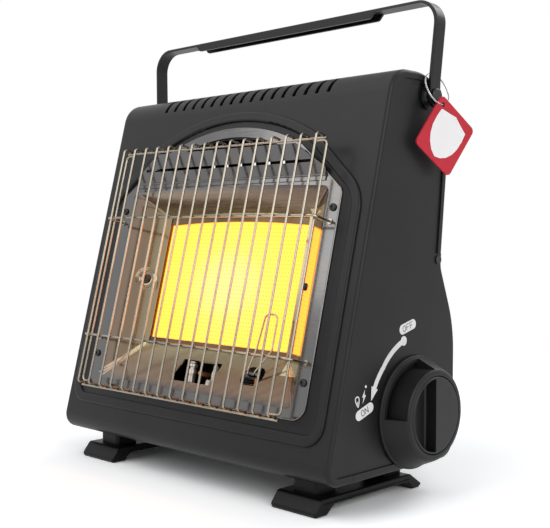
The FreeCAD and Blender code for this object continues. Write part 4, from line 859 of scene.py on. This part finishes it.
@dataclass
class SidePrint:
    """Switch marks printed on the right side panel round the knob."""

    panel: float = 126.0
    film: float = 0.06
    arrow_films: float = 1.2
    word_films: float = 1.6
    knob_depth: float = 22.7
    knob_height: float = 52.9
    arc_radii: Place = (44.6, 41.4)
    arc_angles: Place = (102.4, 154.0)
    arc_width: float = 3.3
    arc_closing: float = 1.6
    tip: Place = (-17.4, 64.6)
    tip_half: float = 3.1
    tip_overlap: float = 0.6
    tip_blunt: float = 0.05
    tail_radius: float = 2.9
    pill_length: float = 16.4
    pill_height: float = 6.0
    letter_width: float = 2.6
    letter_rise: float = 1.75
    letter_gap: float = 1.0
    letter_stroke: float = 0.6
    bar_ends: Place = (0.2, 0.5)
    off_place: Place = (17.0, 104.6)
    off_turn: float = 14.5
    on_place: Place = (-23.3, 59.0)
    on_turn: float = 19.0
    flame_place: Place = (-29.6, 65.2)
    flame_turn: float = 12.0
    flame_half: float = 2.3
    flame_rise: float = 3.0
    flame_swell: Place = (0.62, 0.38)
    flame_stroke: float = 0.75
    flame_heart: Place = (0.3, 0.35)
    heart_drop: float = 0.9
    bolt_place: Place = (-24.0, 67.6)
    bolt: tuple[Place, ...] = ((0.9, 3.9), (-1.7, -0.4), (-0.2, -0.2), (-1.2, -4.0), (1.9, 0.9), (0.4, 0.6))
    spark_offset: Place = (1.7, 5.6)
    spark_radius: float = 0.85

    def placement(self) -> Matrix:
        """Placement of a drawing whose X runs backwards and whose Y runs up the panel."""
        return Matrix(((0, 0, 1, self.panel), (1, 0, 0, 0), (0, 1, 0, 0), (0, 0, 0, 1)))

    def disc(self, middle: Place, radius: float, steps: int = 24) -> list[Place]:
        """Outline of a disc, with its corners in order."""
        angles = [math.tau * k / steps for k in range(steps)]
        return [(middle[0] + radius * math.cos(angle), middle[1] + radius * math.sin(angle))
                for angle in angles]

    def turned(self, points: list[Place], place: Place, turn: float) -> list[Place]:
        """Turn points about the origin, in degrees, and shift them to a place."""
        angle = math.radians(turn)
        return [(place[0] + x * math.cos(angle) - y * math.sin(angle),
                 place[1] + x * math.sin(angle) + y * math.cos(angle)) for x, y in points]

    def pill_outline(self) -> list[Place]:
        """Outline of a pill about the origin.

        Returns:
            The corners in order.
        """
        radius = self.pill_height / 2
        reach = self.pill_length / 2 - radius
        steps = 14
        right = [(reach + radius * math.sin(math.pi * k / steps), -radius * math.cos(math.pi * k / steps))
                 for k in range(steps + 1)]
        return right + [(-x, -y) for x, y in right]

    def letters(self, word: str) -> list[tuple[list[Place], bool]]:
        """Strokes of a short word of O, F and N, about the origin.

        Args:
            word: ON or OFF.

        Returns:
            Paths, and whether each is closed.
        """
        width, rise, gap = self.letter_width, self.letter_rise, self.letter_gap
        steps = 20
        strokes = []
        start = -((width + gap) * len(word) - gap) / 2
        for index, letter in enumerate(word):
            left = start + index * (width + gap)
            right = left + width
            if letter == "O":
                middle = (left + right) / 2
                angles = [math.tau * k / steps for k in range(steps)]
                ring = [(middle + width / 2 * math.cos(angle), rise * math.sin(angle)) for angle in angles]
                strokes.append((ring, True))
            elif letter == "F":
                strokes.append(([(right, rise), (left, rise), (left, -rise)], False))
                strokes.append(([(left + self.bar_ends[0], 0.0), (right - self.bar_ends[1], 0.0)], False))
            else:
                strokes.append(([(left, -rise), (left, rise)], False))
                strokes.append(([(left, rise), (right, -rise)], False))
                strokes.append(([(right, -rise), (right, rise)], False))
        return strokes

    def pill(self, name: str, word: str, place: Place, turn: float, paint: Paintwork) -> None:
        """Print one pill and its word.

        Args:
            name: Name of the pill.
            word: Word on it.
            place: Its middle on the panel.
            turn: Its turn in degrees.
            paint: Finishes to take from.
        """
        bench = MeshBench(name, self.placement())
        bench.plate(self.turned(self.pill_outline(), place, turn), 0.0, self.film)
        bench.finish(paint.material("print"), Body.CABINET, 20.0)
        ink = MeshBench(name + "_word", self.placement())
        for path, closed in self.letters(word):
            widths = [self.letter_stroke] * len(path)
            ink.ribbon(self.turned(path, place, turn), widths, self.film, self.film * self.word_films, closed)
        ink.finish(paint.material("ink"), Body.CABINET, 20.0)

    def arrow(self, paint: Paintwork) -> None:
        """Print the arc from the tail dot to the arrow head.

        Args:
            paint: Finishes to take from.
        """
        steps = 40
        over = self.film * self.arrow_films
        wide, narrow = self.arc_radii
        path = []
        for step in range(steps + 1):
            share = step / steps
            angle = math.radians(self.arc_angles[0] + (self.arc_angles[1] - self.arc_angles[0]) * share)
            radius = wide + (narrow - wide) * min(1.0, share * self.arc_closing)
            path.append((self.knob_depth + radius * math.cos(angle),
                         self.knob_height + radius * math.sin(angle)))
        bench = MeshBench("turn_arrow", self.placement())
        bench.ribbon(path, [self.arc_width] * len(path), 0.0, self.film)
        bench.plate(self.disc(path[0], self.tail_radius), 0.0, over)
        foot, tip = Vector(path[-1]), Vector(self.tip)
        along = (tip - foot).normalized()
        across = Vector((-along.y, along.x)) * self.tip_half
        back = foot - along * self.tip_overlap
        blunt = across * self.tip_blunt
        corners = [back + across, tip + blunt, tip - blunt, back - across]
        bench.plate([tuple(corner) for corner in corners], 0.0, over)
        bench.finish(paint.material("print"), Body.CABINET, 20.0)

    def icons(self, paint: Paintwork) -> None:
        """Print the flame and the spark beside ON.

        Args:
            paint: Finishes to take from.
        """
        steps = 26
        full, lean = self.flame_swell
        flame = []
        for step in range(steps):
            angle = math.tau * step / steps
            bulge = self.flame_half * math.sin(angle) * (full - lean * math.cos(angle))
            flame.append((bulge, -self.flame_rise * math.cos(angle)))
        bench = MeshBench("flame_mark", self.placement())
        outline = self.turned(flame, self.flame_place, self.flame_turn)
        bench.ribbon(outline, [self.flame_stroke] * steps, 0.0, self.film, True)
        wide, tall = self.flame_heart
        inner = [(x * wide, y * tall - self.heart_drop) for x, y in flame]
        bench.plate(self.turned(inner, self.flame_place, self.flame_turn), 0.0, self.film)
        bench.finish(paint.material("print"), Body.CABINET, 20.0)
        spark = (self.bolt_place[0] + self.spark_offset[0], self.bolt_place[1] + self.spark_offset[1])
        bench = MeshBench("spark_mark", self.placement())
        bench.plate(self.turned(list(self.bolt), self.bolt_place, 0.0)[::-1], 0.0, self.film)
        bench.plate(self.disc(spark, self.spark_radius, 16), 0.0, self.film)
        bench.finish(paint.material("print"), Body.CABINET, 20.0)

    def build(self, paint: Paintwork) -> None:
        """Print every mark.

        Args:
            paint: Finishes to take from.
        """
        self.pill("pill_off", "OFF", self.off_place, self.off_turn, paint)
        self.pill("pill_on", "ON", self.on_place, self.on_turn, paint)
        self.arrow(paint)
        self.icons(paint)


@dataclass
class HangTag:
    """Square red tag with a bare white panel, on a split ring through the handle's leg."""

    ring_radius: float = 10.6
    ring_wire: float = 0.27
    ring_offset: float = 0.25
    ring_lean: float = 22.0
    ring_top: Point = (127.8, 37.5, 257.0)
    ring_start: float = 0.22
    ring_crossing: float = 14.0
    turn: float = 10.0
    lean: float = -5.0
    tilt: float = 11.2
    side: float = 35.4
    inset: float = 4.4
    gauge: float = 1.2
    hole: float = 2.2
    bore: float = 1.45
    collar_width: float = 0.5
    collar_edge: float = 0.02
    lip: float = 0.15
    lip_outer: float = 0.3
    lip_inner: float = 0.2
    film: float = 0.06

    def down(self) -> Vector:
        """Direction from the top of the ring to its lowest place."""
        lean = math.radians(self.ring_lean)
        return Vector((math.sin(lean), 0, -math.cos(lean)))

    def ring(self, paint: Paintwork) -> bpy.types.Object:
        """Wind the two turns of the split ring.

        Args:
            paint: Finishes to take from.

        Returns:
            The ring's object.
        """
        lean = math.radians(self.ring_lean)
        centre = Vector(self.ring_top) + self.down() * self.ring_radius
        normal = Vector((math.cos(lean), 0, math.sin(lean)))
        side = normal.cross(self.down())
        steps = 160
        path = []
        for step in range(steps + 1):
            share = step / steps
            angle = math.tau * (2 * share + self.ring_start)
            level = self.ring_offset * math.tanh((share - 0.5) * self.ring_crossing)
            spoke = self.down() * math.cos(angle) + side * math.sin(angle)
            path.append(centre + spoke * self.ring_radius + normal * level)
        bench = MeshBench("split_ring")
        bench.tube(path, self.ring_wire)
        return bench.finish(paint.material("ring"), Body.TAG, 60.0, "ring_steel")

    def placement(self) -> Matrix:
        """Placement of the tag's own drawing, hole at the origin and face along Z.

        Returns:
            The placement in millimetres.
        """
        low = Vector(self.ring_top) + self.down() * self.ring_radius * 2
        turn, tip = math.radians(self.turn), math.radians(self.lean)
        along = Vector((math.sin(turn), math.cos(turn), 0))
        up = Vector((-math.sin(tip) * math.cos(turn), math.sin(tip) * math.sin(turn), math.cos(tip)))
        face = along.cross(up)
        pose = Matrix((along, up, face)).transposed().to_4x4()
        return Matrix.Translation(low) @ pose

    def collar(self, paint: Paintwork) -> bpy.types.Object:
        """Mould the collar round the hole, which the ring runs through.

        Args:
            paint: Finishes to take from.

        Returns:
            The collar's object.
        """
        half = self.gauge / 2
        rim = self.hole + self.collar_width
        upper = [(rim, half), (rim, half + self.collar_edge), (self.hole + self.lip_outer, half + self.lip),
                 (self.bore + self.lip_inner, half + self.lip), (self.bore, half)]
        lower = [(radius, -height) for radius, height in upper[::-1]]
        bench = MeshBench("tag_collar", self.placement())
        bench.lathe(lower + [(self.hole, -half), (self.hole, half)] + upper, 40)
        return bench.finish(paint.material("tag"), Body.TAG, 50.0, "red_tag")

    def shield(self) -> list[Place]:
        """Outline of the bare panel, as shares of the tag's side from the hole's corner."""
        right = [(0.5, 0.1), (0.66, 0.145), (0.86, 0.19), (0.875, 0.36), (0.865, 0.52), (0.82, 0.66),
                 (0.74, 0.78), (0.63, 0.87)]
        return right + [(0.5, 0.92)] + [(1.0 - across, down) for across, down in right[:0:-1]]

    def panels(self, paint: Paintwork) -> None:
        """Lay the bare white panel on both faces of the tag.

        Args:
            paint: Finishes to take from.
        """
        angle = math.radians(45 + self.tilt)
        points = []
        for across, down in self.shield():
            first = self.inset - down * self.side
            second = self.inset - across * self.side
            points.append((first * math.cos(angle) - second * math.sin(angle),
                           first * math.sin(angle) + second * math.cos(angle)))
        half = self.gauge / 2
        for name, low in (("tag_panel_front", half), ("tag_panel_back", -half - self.film)):
            bench = MeshBench(name, self.placement())
            bench.plate(points, low, low + self.film)
            bench.finish(paint.material("panel"), Body.TAG, 20.0, "red_tag")

    def build(self, paint: Paintwork) -> None:
        """Build the ring, the collar and the panels.

        Args:
            paint: Finishes to take from.
        """
        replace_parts(self.ring(paint), "tag_ring")
        self.collar(paint)
        self.panels(paint)


@dataclass
class Studio:
    """Camera, lamps, floor and background."""

    eye: Point = (479.3, -456.5, 161.8)
    azimuth: float = 44.43
    downward: float = 1.93
    focal_pixels: float = 984.16
    floor_gain: float = 1.3
    fade_start: float = 0.3
    fade_end: float = 0.75
    floor_half: float = 6.0
    floor_tones: Place = (0.88, 0.9)
    floor_patches: float = 3.0
    floor_roughness: float = 0.9
    aim: Point = (0.0, 0.0, 0.14)
    surroundings: Colour = (0.9, 0.92, 0.95)
    surroundings_strength: float = 0.45
    lamps: tuple[tuple[str, Point, float, float], ...] = (
        ("key", (-0.6, -1.5, 1.7), 2.2, 26.0), ("fill", (1.7, -0.5, 0.9), 1.2, 14.0),
        ("rim", (0.3, 1.4, 1.5), 1.0, 12.0))

    def camera(self) -> None:
        """Set the camera at the photograph's place."""
        lens = bpy.data.cameras.new("view")
        lens.sensor_width = SENSOR_WIDTH
        lens.lens = self.focal_pixels * SENSOR_WIDTH / IMAGE_WIDTH
        lens.clip_start = 0.01
        eye = bpy.data.objects.new("view", lens)
        eye.location = Vector(self.eye) * MM
        eye.rotation_euler = (math.radians(90 - self.downward), 0, math.radians(self.azimuth))
        bpy.context.scene.collection.objects.link(eye)
        bpy.context.scene.camera = eye

    def lamp(self, name: str, place: Point, size: float, power: float) -> None:
        """Add one soft area lamp aimed at the heater.

        Args:
            name: Name of the lamp.
            place: Position in metres.
            size: Edge length in metres.
            power: Power in watts.
        """
        light = bpy.data.lights.new(name, "AREA")
        light.size = size
        light.energy = power
        holder = bpy.data.objects.new(name, light)
        holder.location = place
        aim = Vector(self.aim) - Vector(place)
        holder.rotation_euler = aim.to_track_quat("-Z", "Y").to_euler()
        bpy.context.scene.collection.objects.link(holder)

    def shown(self, tree: bpy.types.NodeTree) -> Socket:
        """Factor that is one for what the camera, a mirror or a glass shows.

        Args:
            tree: Node tree of the floor or of the world.

        Returns:
            The factor socket.
        """
        path = tree.nodes.new("ShaderNodeLightPath")
        factor = path.outputs["Is Transmission Ray"]
        for ray in ("Is Glossy Ray", "Is Camera Ray"):
            either = tree.nodes.new("ShaderNodeMath")
            either.operation = "MAXIMUM"
            tree.links.new(path.outputs[ray], either.inputs[0])
            tree.links.new(factor, either.inputs[1])
            factor = either.outputs[0]
        return factor

    def world(self) -> None:
        """Pale even surroundings that show white behind the heater."""
        world = bpy.data.worlds.new("surroundings")
        bpy.context.scene.world = world
        world.use_nodes = True
        nodes = world.node_tree.nodes
        links = world.node_tree.links
        lit = nodes["Background"]
        lit.inputs["Color"].default_value = (*self.surroundings, 1.0)
        lit.inputs["Strength"].default_value = self.surroundings_strength
        white = nodes.new("ShaderNodeBackground")
        white.inputs["Color"].default_value = (*WHITE, 1.0)
        mix = nodes.new("ShaderNodeMixShader")
        links.new(self.shown(world.node_tree), mix.inputs["Fac"])
        links.new(lit.outputs["Background"], mix.inputs[1])
        links.new(white.outputs["Background"], mix.inputs[2])
        links.new(mix.outputs["Shader"], nodes["World Output"].inputs["Surface"])

    def floor(self) -> None:
        """Lay a wide pale floor that keeps the heater's shadow and fades to plain white further out."""
        mesh = bpy.data.meshes.new("floor")
        shape = bmesh.new()
        bmesh.ops.create_grid(shape, x_segments=1, y_segments=1, size=self.floor_half)
        shape.to_mesh(mesh)
        shape.free()
        floor = bpy.data.objects.new("floor", mesh)
        bpy.context.scene.collection.objects.link(floor)
        bench = NodeBench("floor_pale")
        place = bench.node("ShaderNodeTexCoord").outputs["Object"]
        tones = [(tone, tone, tone) for tone in self.floor_tones]
        tone = bench.ramp(bench.noise(place, self.floor_patches, 2.0), *zip(NOISE_RANGE, tones))
        bench.link(tone, bench.shader.inputs["Base Color"])
        bench.shader.inputs["Roughness"].default_value = self.floor_roughness
        bright = bench.node("ShaderNodeBsdfDiffuse")
        bright.inputs["Color"].default_value = (self.floor_gain, self.floor_gain, self.floor_gain, 1)
        plain = bench.node("ShaderNodeEmission")
        length = bench.node("ShaderNodeVectorMath")
        length.operation = "LENGTH"
        bench.link(place, length.inputs[0])
        reach = bench.spread(length.outputs["Value"], (self.fade_start, self.fade_end), soft=True)
        fade = bench.node("ShaderNodeMixShader")
        bench.link(reach, fade.inputs["Fac"])
        bench.link(bright.outputs["BSDF"], fade.inputs[1])
        bench.link(plain.outputs["Emission"], fade.inputs[2])
        choice = bench.node("ShaderNodeMixShader")
        bench.link(self.shown(bench.tree), choice.inputs["Fac"])
        bench.link(bench.shader.outputs["BSDF"], choice.inputs[1])
        bench.link(fade.outputs["Shader"], choice.inputs[2])
        bench.link(choice.outputs["Shader"], bench.tree.nodes["Material Output"].inputs["Surface"])
        mesh.materials.append(bench.material)

    def build(self) -> None:
        """Set up the whole studio."""
        self.camera()
        for name, place, size, power in self.lamps:
            self.lamp(name, place, size, power)
        self.world()
        self.floor()
        bpy.context.scene.view_settings.view_transform = "Standard"


def main() -> None:
    """Build the scene piece by piece."""
    logging.basicConfig(level=logging.INFO, format="%(name)s: %(message)s")
    slope = FaceSlope()
    paint = Paintwork()
    paint.dress()
    GlowingPlaque(slope).dress()
    HeatedReflector(slope).dress()
    PilotGroup(slope).build(paint)
    SidePrint().build(paint)
    HangTag().build(paint)
    Studio().build()


if __name__ == "__main__":
    main()
